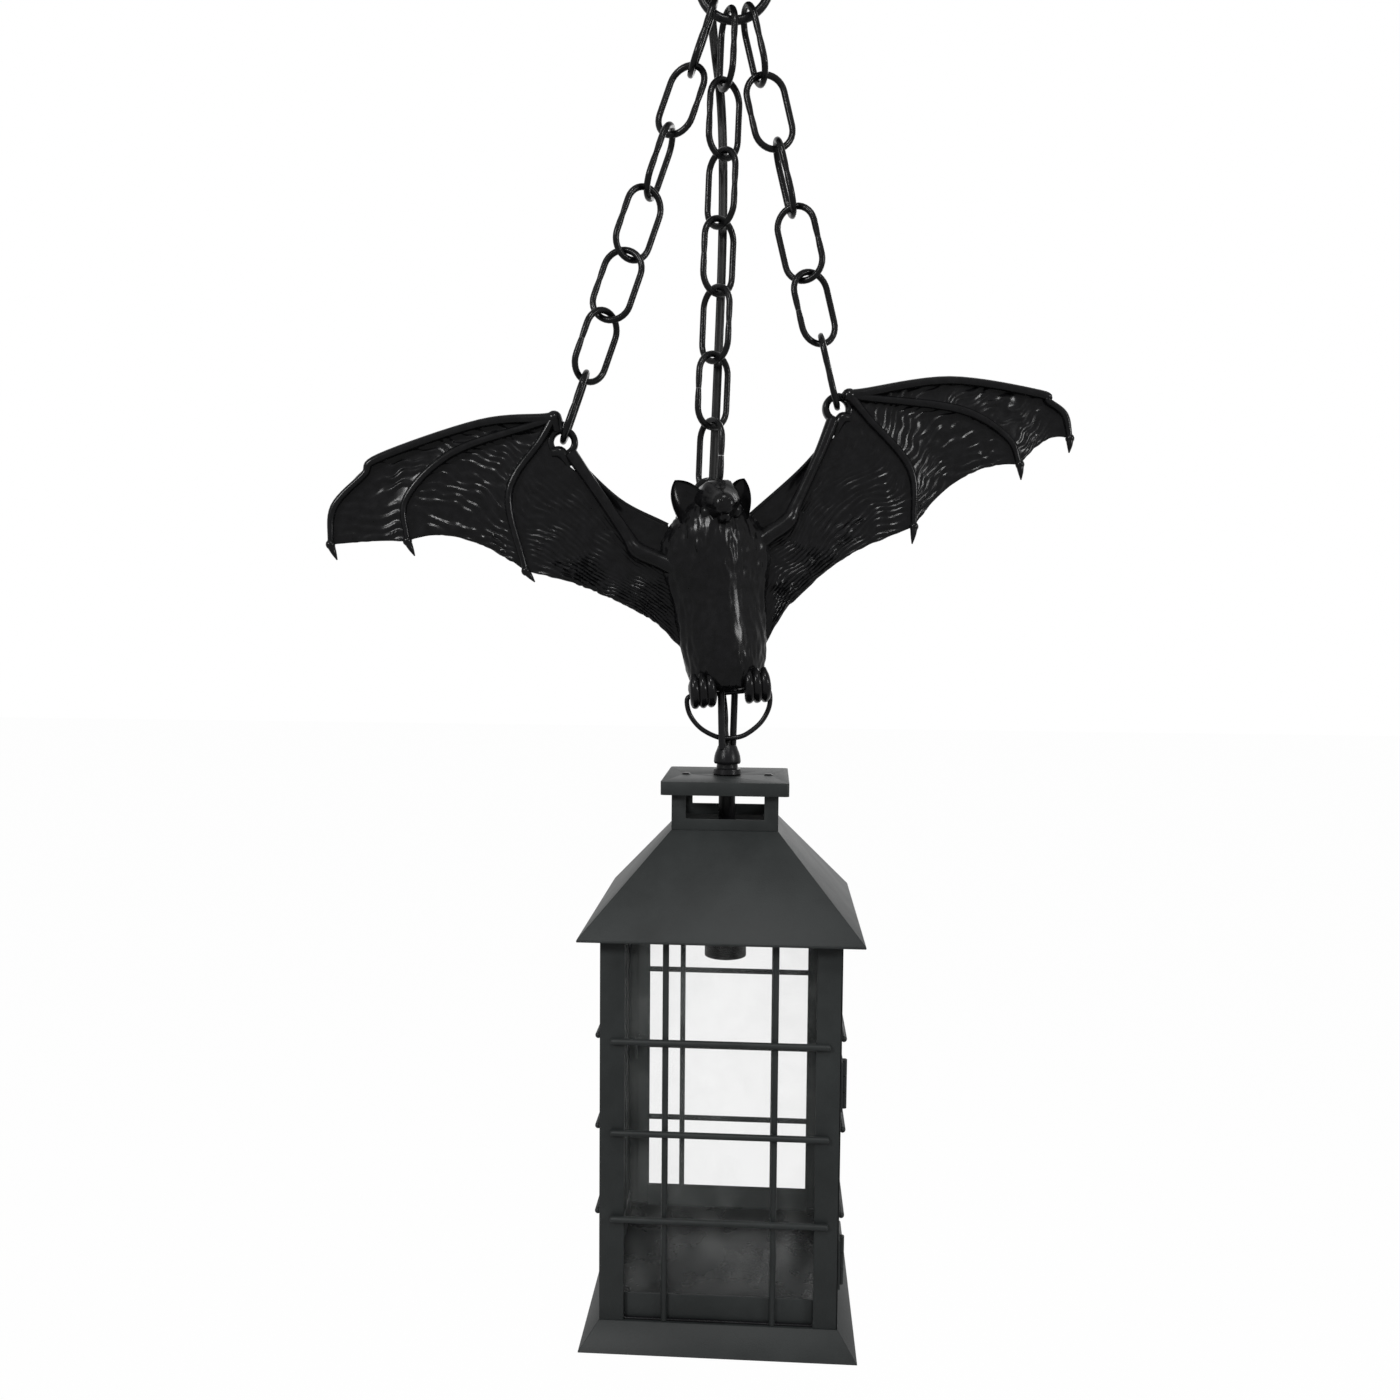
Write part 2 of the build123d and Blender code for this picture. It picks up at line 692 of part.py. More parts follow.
with BuildPart() as soffit:
    with BuildSketch(Plane.XY.offset(body_top)):
        Rectangle(eave_w, eave_w)
        Rectangle(body_w - 26, body_w - 26, mode=Mode.SUBTRACT)
    extrude(amount=sheet)
soffit.part.label = "soffit_plate"
export_step(soffit.part, "parts/soffit_plate.step")

# Lamp socket under the roof

with BuildPart() as socket_cap:
    with BuildSketch(Plane.XZ):
        with BuildLine():
            Polyline(
                (pipe_d / 2, socket_top), (socket_d / 2, socket_top), (socket_d / 2, socket_top + 4),
                (socket_d / 2 - 1.6, socket_top + 8), (pipe_d / 2 + 2.5, socket_top + 11),
                (pipe_d / 2 + 2.5, socket_top + 15), (pipe_d / 2, socket_top + 15),
                (pipe_d / 2, socket_top),
            )
        make_face()
    revolve(axis=Axis.Z)
socket_cap.part.label = "socket_cap"
export_step(socket_cap.part, "parts/socket_cap.step")

shell_r = socket_bore_r + shell_t
with BuildPart() as socket_body:
    with BuildSketch(Plane.XY.offset(socket_low)):
        Circle(socket_d / 2)
    extrude(amount=socket_h)
    with BuildSketch(Plane.XY.offset(socket_low)):
        Circle(shell_r)
    extrude(amount=socket_h - 6, mode=Mode.SUBTRACT)
    with BuildSketch(Plane.XY.offset(socket_low + 9)):
        Circle(socket_d / 2)
        Circle(socket_d / 2 - 0.8, mode=Mode.SUBTRACT)
    extrude(amount=2, mode=Mode.SUBTRACT)
socket_body.part.label = "socket_body"
export_step(socket_body.part, "parts/socket_body.step")

with BuildPart() as shell:
    with BuildSketch(Plane.XY.offset(socket_low + 2)):
        Circle(shell_r)
        Circle(socket_bore_r, mode=Mode.SUBTRACT)
    extrude(amount=shell_len)
shell.part.label = "screw_shell"
export_step(shell.part, "parts/screw_shell.step")

with BuildPart() as contact:
    with BuildSketch(Plane.XY.offset(socket_low + socket_h - 6)):
        Rectangle(8, 3)
    extrude(amount=-0.8)
    contact_top = Vector(0, 0, socket_low + socket_h - 6.8)
    cone(contact_top, contact_top - Vector(0, 0, 2.2), 1.6, 1.0)
contact.part.label = "centre_contact"
export_step(contact.part, "parts/centre_contact.step")

# Panels, bars, glass and clips of the lantern's sides


def window(angle, low, high, wide):
    block(angle, (-wide, wide), (-half - 5, -half + 5), low, high, Mode.SUBTRACT)


def bars(angle, length):
    """Two upright bars in the window with three level bars across their faces."""
    for side in (1, -1):
        foot = side_point(angle, side * bar_x, -bar_back, window_low)
        head = foot + Vector(0, 0, window_top - window_low)
        bent(along([foot, head], (1, 0, 0)), [bar_d / 2, bar_d / 2], 12)
    for drop in bar_drops:
        reach = (-length / 2, 0.9 - length / 2, length / 2 - 0.9, length / 2)
        run = [side_point(angle, across, -half - bar_d / 2, eave_z - drop) for across in reach]
        bent(along(run, (0, 0, 1)), [bar_d / 2 - 0.9, bar_d / 2, bar_d / 2, bar_d / 2 - 0.9], 12)


def clips(angle, wide):
    """Two bent tabs behind the posts that hold a pane against the bars."""
    edge, back = wide / 2 + 0.2, glass_face - glass_t
    middle = (window_low + window_top) / 2
    for side in (1, -1):
        low, high = middle - clip_h / 2, middle + clip_h / 2
        block(angle, (side * edge, side * (edge + clip_t)), (sheet - half, -back + clip_t), low, high)
        block(angle, (side * (edge - 5), side * (edge + clip_t)), (-back, -back + clip_t), low, high)


def pane(angle, wide, low, high):
    block(angle, (-wide / 2, wide / 2), (-glass_face, -glass_face + glass_t), low, high)


with BuildPart() as front_panel:
    block(front, (-half, half), (-half, -half + sheet), base_z, body_top)
    block(front, (half - sheet, half), (-half, -half + return_w), base_z, body_top)
    window(front, window_low, window_top, window_half)
front_panel.part.label = "front_panel"
export_step(front_panel.part, "parts/front_panel.step")

with BuildPart() as rear_panel:
    block(rear, (-half, half), (-half, -half + sheet), base_z, body_top)
    block(rear, (-half, -half + sheet), (-half, -half + return_w), base_z, body_top)
    window(rear, window_low, window_top, window_half)
rear_panel.part.label = "rear_panel"
export_step(rear_panel.part, "parts/rear_panel.step")

with BuildPart() as left_panel:
    block(left_side, (sheet - half, half - sheet), (-half, -half + sheet), base_z, body_top)
    window(left_side, window_low, window_top, window_half)
left_panel.part.label = "left_panel"
export_step(left_panel.part, "parts/left_panel.step")

with BuildPart() as front_bars:
    bars(front, bar_len)
front_bars.part.label = "front_bars"
export_step(front_bars.part, "parts/front_bars.step")

with BuildPart() as rear_bars:
    bars(rear, bar_len)
rear_bars.part.label = "rear_bars"
export_step(rear_bars.part, "parts/rear_bars.step")

with BuildPart() as left_bars:
    bars(left_side, bar_len)
left_bars.part.label = "left_bars"
export_step(left_bars.part, "parts/left_bars.step")

pane_low = floor_z
pane_high = body_top - 3
with BuildPart() as front_glass:
    pane(front, glass_w, pane_low, pane_high)
front_glass.part.label = "front_glass"
export_step(front_glass.part, "parts/front_glass.step")

with BuildPart() as rear_glass:
    pane(rear, glass_w, pane_low, pane_high)
rear_glass.part.label = "rear_glass"
export_step(rear_glass.part, "parts/rear_glass.step")

with BuildPart() as left_glass:
    pane(left_side, glass_w, pane_low, pane_high)
left_glass.part.label = "left_glass"
export_step(left_glass.part, "parts/left_glass.step")

with BuildPart() as front_clips:
    clips(front, glass_w)
front_clips.part.label = "front_clips"
export_step(front_clips.part, "parts/front_clips.step")

with BuildPart() as rear_clips:
    clips(rear, glass_w)
rear_clips.part.label = "rear_clips"
export_step(rear_clips.part, "parts/rear_clips.step")

with BuildPart() as left_clips:
    clips(left_side, glass_w)
left_clips.part.label = "left_clips"
export_step(left_clips.part, "parts/left_clips.step")

# Floor and base

with BuildPart() as floor:
    with BuildSketch(Plane.XY.offset(base_z)):
        Rectangle(body_w - 2 * sheet, body_w - 2 * sheet)
    extrude(amount=sheet)
floor.part.label = "floor_plate"
export_step(floor.part, "parts/floor_plate.step")

base_low = base_z - base_h
with BuildPart() as base:
    flare = degrees(atan2((base_w - body_w) / 2, base_h))
    with BuildSketch(Plane.XY.offset(base_low)):
        Rectangle(base_w, base_w)
    extrude(amount=base_h, taper=flare)
    with BuildSketch(Plane.XY.offset(base_low)):
        Rectangle(base_w - 2 * sheet, base_w - 2 * sheet)
    extrude(amount=base_h - sheet, taper=flare, mode=Mode.SUBTRACT)
    with BuildSketch(Plane.XY.offset(base_z)):
        Rectangle(body_w - 2 * base_ledge, body_w - 2 * base_ledge)
    extrude(amount=-2 * sheet, mode=Mode.SUBTRACT)
base.part.label = "base_skirt"
export_step(base.part, "parts/base_skirt.step")

# Door on the right side, with hinges and latch

door_low = floor_z + 0.8
door_high = body_top - 1.5
door_half = half - return_w - door_gap
hinge_along = -(half - return_w - door_gap / 2)
hinge_out = half + knuckle_r
hinge_tops = [eave_z - drop for drop in hinge_drops]
leaf_edge = half + leaf_t

with BuildPart() as door:
    block(right_side, (-door_half, door_half), (-half, -half + sheet), door_low, door_high)
    window(right_side, window_low, window_top, door_half - door_post)
door.part.label = "door_frame"
export_step(door.part, "parts/door_frame.step")

door_glass_w = 2 * door_half - 10
with BuildPart() as door_glass:
    pane(right_side, door_glass_w, door_low + 1, door_high - 2)
door_glass.part.label = "door_glass"
export_step(door_glass.part, "parts/door_glass.step")

with BuildPart() as door_bars:
    bars(right_side, 2 * door_half - 8)
door_bars.part.label = "door_bars"
export_step(door_bars.part, "parts/door_bars.step")

with BuildPart() as door_clips:
    clips(right_side, door_glass_w)
door_clips.part.label = "door_clips"
export_step(door_clips.part, "parts/door_clips.step")


def knuckle(low, high):
    with BuildSketch(level(low, right_side)) as barrel:
        with Locations((hinge_along, -hinge_out)):
            Circle(knuckle_r)
    extrude(barrel.sketch, amount=high - low)


def pin_bore(r):
    for top in hinge_tops:
        with BuildSketch(level(top, right_side)) as hole:
            with Locations((hinge_along, -hinge_out)):
                Circle(r)
        extrude(hole.sketch, amount=-hinge_h, mode=Mode.SUBTRACT)


third = hinge_h / 3
with BuildPart() as body_leaves:
    for top in hinge_tops:
        for high in (top, top - 2 * third):
            knuckle(high - third + clear / 2, high - clear / 2)
        block(
            right_side, (-half + 0.5, hinge_along - knuckle_r - 0.1), (-leaf_edge, -half),
            top - hinge_h, top,
        )
        for high in (top, top - 2 * third):
            block(
                right_side, (hinge_along - knuckle_r - 0.2, hinge_along), (-leaf_edge, -half),
                high - third + clear / 2, high - clear / 2,
            )
    pin_bore(hinge_pin_r)
body_leaves.part.label = "hinge_body_leaves"
export_step(body_leaves.part, "parts/hinge_body_leaves.step")

with BuildPart() as door_leaves:
    for top in hinge_tops:
        knuckle(top - 2 * third + clear / 2, top - third - clear / 2)
        block(
            right_side, (hinge_along + knuckle_r + 0.4, -door_half + 9), (-leaf_edge, -half),
            top - hinge_h, top,
        )
        block(
            right_side, (hinge_along, hinge_along + knuckle_r + 0.6), (-leaf_edge, -half),
            top - 2 * third + clear / 2, top - third - clear / 2,
        )
    pin_bore(hinge_pin_r + running)
door_leaves.part.label = "hinge_door_leaves"
export_step(door_leaves.part, "parts/hinge_door_leaves.step")

with BuildPart() as hinge_pins:
    for top in hinge_tops:
        with BuildSketch(level(top - hinge_h, right_side)):
            with Locations((hinge_along, -hinge_out)):
                Circle(hinge_pin_r)
        extrude(amount=hinge_h)
hinge_pins.part.label = "hinge_pins"
export_step(hinge_pins.part, "parts/hinge_pins.step")

latch_along = half - return_w / 2
latch_z = eave_z - latch_drop
latch_face = half + 0.35
with BuildPart() as latch_pivot:
    rod(side_point(right_side, latch_along, -half, latch_z),
        side_point(right_side, latch_along, -latch_face - latch_t - 0.3, latch_z), 1.5)
    rod(side_point(right_side, latch_along, -latch_face - latch_t - 0.3, latch_z),
        side_point(right_side, latch_along, -latch_face - latch_t - 1.3, latch_z), 2.6)
latch_pivot.part.label = "latch_pivot"
export_step(latch_pivot.part, "parts/latch_pivot.step")

latch_plane = Plane(
    side_point(right_side, latch_along, -latch_face, latch_z), x_dir=(0, 0, -1), z_dir=(1, 0, 0)
)
with BuildPart() as latch:
    with BuildSketch(latch_plane):
        with Locations((latch_len / 2 - latch_w / 2, 0)):
            SlotOverall(latch_len, latch_w)
        Circle(1.5 + running, mode=Mode.SUBTRACT)
    extrude(amount=latch_t)
latch.part.label = "latch_button"
export_step(latch.part, "parts/latch_button.step")

knob_along = door_half - door_post / 2
with BuildPart() as knob:
    rod(side_point(right_side, knob_along, -half, eave_z - knob_drop),
        side_point(right_side, knob_along, -half - 3, eave_z - knob_drop), 1.6)
    rod(side_point(right_side, knob_along, -half - 3, eave_z - knob_drop),
        side_point(right_side, knob_along, -half - 8, eave_z - knob_drop), 3.4, 0.8)
knob.part.label = "door_knob"
export_step(knob.part, "parts/door_knob.step")

# Lamp cord: canopy to the bat's back, down to the feet, into the loop and down the pipe

chain_run = (tab_centre - eye_point(centre_hang)).normalized()


def behind_chain(drop):
    """A point behind the centre chain, drop below the canopy's loop."""
    return eye_point(centre_hang) + chain_run * drop + Vector(1.7, cord_behind, 0)


back_c = -back_depth - cord_d / 2 - 0.4
upper_points = [
    Vector(bushing_x, bushing_y, 3 - canopy_depth),
    Vector(bushing_x, bushing_y, -canopy_depth - 30),
    behind_chain(60),
    behind_chain(feet_drop - 108),
    bat_point(0, 92, back_c - 6),
    bat_point(-2, 70, back_c),
    bat_point(-3, cord_rest, back_c),
]
back_points = [
    bat_point(-3, cord_rest, back_c),
    bat_point(-3.5, cord_rest - 21, back_c),
    bat_point(-3.05, 1, -8.67),
]
entry_points = [
    bat_point(-3.05, 1, -8.67),
    bat_point(-2.7, -11.6, -4.16),
    bat_point(-4.5, -25.2, -4.4),
    Vector(0, 0, bell_top - 3.5),
]
inner_points = [Vector(0, 0, bell_top - 5.2), Vector(0, 0, socket_top)]

with BuildPart() as cord_upper:
    upper_radii = corner_radii(upper_points)
    tube_along(upper_points, upper_radii, cord_d)
cord_upper.part.label = "cord_upper"
export_step(cord_upper.part, "parts/cord_upper.step")

with BuildPart() as cord_back:
    back_radii = corner_radii(back_points)
    tube_along(back_points, back_radii, cord_d)
cord_back.part.label = "cord_back"
export_step(cord_back.part, "parts/cord_back.step")

with BuildPart() as cord_entry:
    entry_radii = corner_radii(entry_points)
    tube_along(entry_points, entry_radii, cord_d)
cord_entry.part.label = "cord_entry"
export_step(cord_entry.part, "parts/cord_entry.step")

with BuildPart() as cord_inner:
    rod(inner_points[0], inner_points[1], cord_d / 2)
cord_inner.part.label = "cord_inner"
export_step(cord_inner.part, "parts/cord_inner.step")
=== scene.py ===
"""Looks of a pendant lantern that hangs from a cast bat on three chains.

Shapes are written in millimetres, with the ceiling at height 0, and make() turns them into metres.
"""

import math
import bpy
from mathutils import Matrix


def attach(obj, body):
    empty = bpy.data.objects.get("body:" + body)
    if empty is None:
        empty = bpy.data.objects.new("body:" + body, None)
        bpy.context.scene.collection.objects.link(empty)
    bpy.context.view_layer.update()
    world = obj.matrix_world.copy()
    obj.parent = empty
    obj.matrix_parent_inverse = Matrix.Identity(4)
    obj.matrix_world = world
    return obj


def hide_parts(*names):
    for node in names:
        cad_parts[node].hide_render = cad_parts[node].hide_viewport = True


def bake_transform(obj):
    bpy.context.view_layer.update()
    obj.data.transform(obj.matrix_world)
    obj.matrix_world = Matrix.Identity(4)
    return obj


bl_info = {
    "name": "Bat lantern",
    "version": (1, 0, 0),
    "blender": (4, 5, 0),
    "location": "View3D > Sidebar > Lantern",
    "description": "Builds the pendant lantern's visible pieces round its frame",
    "category": "Object",
}

import bmesh
import bpy
from mathutils import Matrix, Vector, noise

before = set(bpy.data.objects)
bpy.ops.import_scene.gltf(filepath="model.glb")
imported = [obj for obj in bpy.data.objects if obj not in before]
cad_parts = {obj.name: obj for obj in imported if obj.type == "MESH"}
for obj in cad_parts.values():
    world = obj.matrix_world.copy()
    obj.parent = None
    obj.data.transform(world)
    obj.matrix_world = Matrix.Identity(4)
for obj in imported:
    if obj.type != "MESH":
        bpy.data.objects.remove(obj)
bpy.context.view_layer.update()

MM = 0.001

# Heights down the lantern, and the half width of its square body.
EYE_Z = -52.0
FEET_Z = -449.0
BELL_TOP = -479.5
EAVE_Z = -576.5
BODY_TOP = -577.7
WINDOW_TOP = -589.7
WINDOW_LOW = -775.2
BASE_Z = -789.7
HALF = 65.0

# The canopy's loop, and the links that hang in it and in the bat's holes.
EYE_R = 20.0
EYE_WIRE = 2.5
EYE_STUD = ((2.4, -12), (2.5, -28.2), (4.0, -28.4), (3.9, -30.4), (3.3, -31.4), (2.4, -32))
LINK_INSIDE = 18.4
LINK_BEND = 11.1
LINK_WIRE = 1.88
LINK_END = 1.6
LINK_SLIT = 0.15
LINK_PLAY = 0.9
LINK_AT_HOLE = 2.5

# The bat: its lean and turn in degrees, then places across from its feet and up from them, for the
# wing on the left and the one on the right, as seen from the front.
BAT_LEAN, BAT_TURN = 5.7, 8.5
NECK_TAB = (0.5, 116.0)
WINGS = {
    "neck": ((-25.8, 98.9), (21.8, 100.6)), "edge": ((-52, 115.5), (53.1, 123.9)),
    "edge_end": ((-75, 141), (71, 141)), "hole": ((-81, 150.5), (78.5, 157.5)),
    "crook": ((-78, 161.5), (78, 164.5)), "wrist": ((-85.3, 167.4), (87, 165.5)),
    "lead": ((-126, 164), (145, 168.1)), "lead_end": ((-183, 149.5), (198.3, 156.4)),
    "bend": ((-211, 124.5), (212.5, 143.2)), "tip": ((-215.2, 103.9), (214.6, 129.4)),
    "tip_claw": ((-212.5, 95), (213.4, 121)), "scallop_2": ((-192.5, 104), (201.3, 130)),
    "third": ((-172.9, 102.3), (183.4, 116.7)), "third_claw": ((-169.7, 93.6), (183.3, 107.7)),
    "scallop_3": ((-142.7, 101.5), (150, 112.5)), "fourth": ((-108.8, 79.9), (117.4, 86)),
    "fourth_claw": ((-104.4, 73.2), (115.4, 76)), "scallop_4": ((-79, 69.3), (78.2, 72.8)),
    "flank": ((-41, 46.9), (40.6, 47.1)), "trail": ((-22.8, 25.6), (22.5, 22.5)),
    "elbow": ((-44.9, 86.3), (43.6, 95.4)), "arm": ((-67, 126), (64, 130)),
    "third_mid": ((-143, 149), (150, 151)), "third_low": ((-171, 126), (177, 133)),
    "fourth_mid": ((-114, 124), (118, 119)),
}

# Each chain: inside length of a link, place on the loop in degrees, hole, turn of each link.
CHAINS = {
    "left": (36.9, -40, (*WINGS["hole"][0], -2.3), (80, 25, 95, 140, 188, 130, 80)),
    "right": (37.4, 22, (*WINGS["hole"][1], -2.3), (75, 165, 85, 20, 150, 95)),
    "centre": (37.8, -10, (*NECK_TAB, -13), (68, 135, 45, 135, 45, 135, 52)),
}

# Wing bones: steps, sides, then places with their depth and half width. A place is a point, or a
# share of the way from it to a second one.
WING_BONES = (
    (8, 12, (("root", 1.5, 7), ("root", "elbow", 0.55, 1.4, 5.2), ("elbow", 1.2, 5),
             ("elbow", "arm", 0.25, 0.8, 3.7), ("arm", 0.4, 3.3), ("lug_low", -0.6, 3.9))),
    (6, 12, (("arm", "lug_out", 0.55, -1.6, 1.6), ("lug_low", "lug_out", 0.5, -1.2, 3.4),
             ("lug_out", -1.4, 2.8))),
    (8, 12, (("lug_high", -1.2, 3.4), ("hub", 0.2, 3.9), ("hub", "lead", 0.12, 0.4, 3),
             ("lead", 0.3, 2.5), ("lead_end", 0.2, 2.5), ("lead_end", "bend", 0.35, 0.1, 2),
             ("bend", 0, 2.1), ("tip", 0, 1.7))),
    (8, 12, (("hub", 0.2, 3.2), ("hub", "third_mid", 0.2, 0.3, 2.4), ("third_mid", 0.2, 2.5),
             ("third_low", 0.1, 2.1), ("third", 0, 1.7))),
    (8, 12, (("hub", 0.2, 3.2), ("hub", "fourth_mid", 0.3, 0.3, 2.3), ("fourth_mid", 0.2, 2.4),
             ("fourth", 0, 1.7))),
    (4, 10, (("hub", 0.4, 3.2), ("hub", "wrist", 0.7, 0.6, 2.6), ("wrist", 0.3, 1.2))),
    (4, 10, (("hole", "crook", 0.7, -1.6, 3), ("crook", -1, 2.2))),
    (8, 10, (("edge_end", "hole", 0.35, -1.8, 2.2), ("edge_end", -1.2, 1.3), ("edge", -1.2, 1),
             ("neck", -1.2, 1.2))),
)

# Fingers that end in a claw, half sizes of knuckles and wrist, then the skin between the bones.
CLAWS = ("tip", "third", "fourth")
KNUCKLE, WRIST = (2.7, 2.9, 2.5), (4.4, 4.2, 3.9)
SKIN_DEPTH = -1.2
SKIN_THICKNESS = 1.6

# Eyes for the chains: radius and half width of the rim, depth and half depth.
WING_LUG = (6.85, 2.0, -3.2, 3.25)
NECK_LUG = (7.15, 2.3, -13.0, 2.0)

# The torso: height, half width, spread into the wings. The slot at its foot clears loop and cord.
BODY = (
    (1.6, 13.4, 1), (3, 15.4, 2), (6, 17.8, 3), (13, 19.6, 3), (22, 20.6, 3.5),
    (33, 20.4, 5), (45, 19.4, 7), (57, 18.8, 9), (69, 19.4, 11),
    (80, 20.2, 12), (89, 20.4, 10), (97, 19.6, 6), (104, 17.6, 2),
    (109.5, 13, 0), (113, 7, 0),
)
BODY_SIDES = 128
BODY_BACK = -11.4
SLOT_TOP, SLOT_HALF, SLOT_BACK = 21.5, 7.9, 10.4

# The head: depth, height, half width, half height.
HEAD = (
    (-9, 110.5, 2, 2), (-8, 110.2, 8, 8), (-4, 109.6, 12, 11.6),
    (2, 108.8, 13.2, 12.8), (9, 108.4, 13.2, 12.8), (15, 107.8, 11.6, 11.2),
    (19.5, 107.2, 9, 9), (23, 106.6, 7.2, 7.2), (26, 106.2, 5.8, 5.7),
    (27.6, 105.9, 4, 4), (28.3, 105.8, 1.2, 1.2),
)
HEAD_SIDES = 56
JAW = ((4.6, 100, 16, 5.4), (4.9, 99.8, 21.5, 4), (5, 100.4, 24.8, 1.9))
TOOTH = ((2.2, 102.6, 25.4, 0.9), (2.1, 100, 25.6, 0.3))

# Eyes, nostrils and cheeks: middle, offset to each side, height, depth, half sizes, sides.
FACE = (
    (4, 7, 110.8, 17.2, (1.9, 1.8, 1.8), 12),
    (5, 2.2, 107.6, 27.2, (1.5, 1.6, 1.3), 12),
    (3.6, 8, 103, 14, (4.6, 5, 5), 14),
)

# Ears: outer foot, outer middle, tip, inner foot, inner middle.
EARS = (
    ((-19.5, 99), (-23.4, 112.5), (-20.4, 122.8), (-4, 113), (-11.4, 120.4)),
    ((19.2, 98), (22, 110.5), (19.2, 120.6), (8, 112), (12.8, 118.8)),
)
EAR_ROWS, EAR_STEPS = 16, 14

# One toe: lean outwards, height, depth, half width. Then the toes' places, foot and neck strut.
TOE = (
    (0, 12.5, 12.5, 1.6), (0, 8, 15.2, 2.7), (0, 2.6, 15.8, 3.1), (0, -1.8, 13.4, 3.1),
    (0, -4.6, 9, 2.6), (-0.2, -5.9, 4.8, 1.5), (-0.3, -6, 2.2, 0.4),
)
TOES = (11, 15.6, 20.2)
FOOT_AT, FOOT_SIZE = (15.6, 4, 5), (7.8, 8.6, 9.6)
NECK_STRUT = ((0.5, 108.5, -12.6, 3.2), (0.5, 100, -11.2, 5.5), (0.5, 88, -7, 8))

# The wire ring in the feet, and the screw loop with its bell-shaped collar.
FOOT_RING = (
    (-14, 0), (-21, 0.1), (-24.2, -2.4), (-23.2, -11), (-17.5, -19.5), (-8, -25.6), (0, -26.8),
    (8, -25.6), (17.5, -19.5), (23.2, -11), (24.2, -2.4), (21, 0.1), (14, 0),
)
FOOT_RING_WIRE = 1.45
BELL = (
    (3.3, -479.9), (4.3, -479.5), (5, -479.6), (5.6, -480.6), (6.2, -482.4), (6.9, -484),
    (7.5, -486), (7.85, -488.6), (7.85, -489.6), (7.4, -490.4), (4.85, -490.5), (4.85, -484),
    (3.3, -484),
)
PIN_R = 1.6
LOOP_PLAY = 1.0
LOOP_WIRE = 2.0
LOOP_BEND = 6.5
LOOP_FOOT = 5.2
LOOP_SINK = 3.2
LOOP_TURN = 35

# Sheet metal sides: angle, edge that is turned in, half width. Faces and edges from the middle.
SIDES = {"front": (0, 1, 64.9), "rear": (180, -1, 64.9), "left": (270, 0, 63.8)}
SHEET_INSIDE = 63.8
POST_EDGE = 51.4
RAIL_HALF = 51.5
RAIL_FACES = (-62.2, -61.1)
FLANGE_INSIDE = 58.5
HEAD_RAIL = 1.6

# Window bars.
BAR_R = 1.7
BAR_LENGTH, DOOR_BAR_LENGTH = 118.0, 108.0
BAR_DROPS = (57.1, 107.5, 155.5)
BAR_STAND = 1.68
UPRIGHT_AT, UPRIGHT_DEPTH = 29.5, 63.2

# Lengths of the lamp cord: bodies it joins, where its bend starts and ends, route.
CORDS = {
    "upper": (
        ("canopy", "suspension"), (-16, 27, -30), (-8, 18, -105),
        ((-16, 27, -19), (-16, 27, -52), (-3.91, 13.07, -131.60), (-11.37, 22.02, -340.28),
         (-12.05, 18.83, -357.46), (-10.97, 12.92, -379.55), (-8.81, 13.24, -411.49)),
    ),
    "back": (
        ("suspension", "ring"), (-8, 13, -414), (-4.4, 8, -448),
        ((-8.81, 13.24, -411.49), (-7.24, 13.48, -432.43), (-4.38, 8.11, -448.31)),
    ),
    "entry": (
        ("ring", "lantern"), (-4.2, 8, -449), (-1, 1, -480),
        ((-4.38, 8.11, -448.31), (-2.13, 3.89, -460.81), (-2.60, 4.06, -474.52), (0, 0, -483.0)),
    ),
    "inner": (
        ("lantern",), None, None, ((0, 0, -484.7), (0, 0, -527.0), (0, 0, -569.7)),
    ),
}
CORE_R, CORE_AT = 1.32, 1.28

# The stage, in metres and watts. Lamps: place, size, power, aim.
WHITE = (1.0, 1.0, 1.0, 1.0)
FLOOR_Z, FLOOR_HALF = -1.25, 9.0
FLOOR_WHITE = 0.985
WORLD_LIGHT = 0.16
LAMPS = {
    "key": ((-0.9, -1.2, 0.25), 0.36, 20.0, (0, 0, -0.42)),
    "fill": ((1.25, -0.75, -0.1), 0.3, 11.0, (0, 0, -0.5)),
    "top": ((0.12, -0.8, 0.5), 0.22, 8.0, (0, 0, -0.37)),
    "rim": ((0.5, 1.2, 0.1), 0.7, 4.0, (0, 0, -0.5)),
}
CAMERA_PLACE = (24.4, -671.4, -411.0)
CAMERA_HEADING = (-0.0604, 0.9982, 0)
CAMERA_PITCH, CAMERA_ROLL = 3.634, 0.476


class Socket:
    """A shader value that takes part in plain arithmetic."""

    def __init__(self, tree, out):
        self.tree = tree
        self.out = out

    def math(self, operation, first, second):
        node = self.tree.nodes.new("ShaderNodeMath")
        node.operation = operation
        plug(self.tree, first, node.inputs[0])
        plug(self.tree, second, node.inputs[1])
        return Socket(self.tree, node.outputs[0])

    def __add__(self, other):
        return self.math("ADD", self, other)

    def __radd__(self, other):
        return self.math("ADD", other, self)

    def __sub__(self, other):
        return self.math("SUBTRACT", self, other)

    def __rsub__(self, other):
        return self.math("SUBTRACT", other, self)

    def __mul__(self, other):
        return self.math("MULTIPLY", self, other)

    def __rmul__(self, other):
        return self.math("MULTIPLY", other, self)


def plug(tree, value, slot):
    """Links a shader value to a node's socket, or sets a plain value on it."""
    if isinstance(value, Socket):
        tree.links.new(value.out, slot)
    else:
        slot.default_value = value


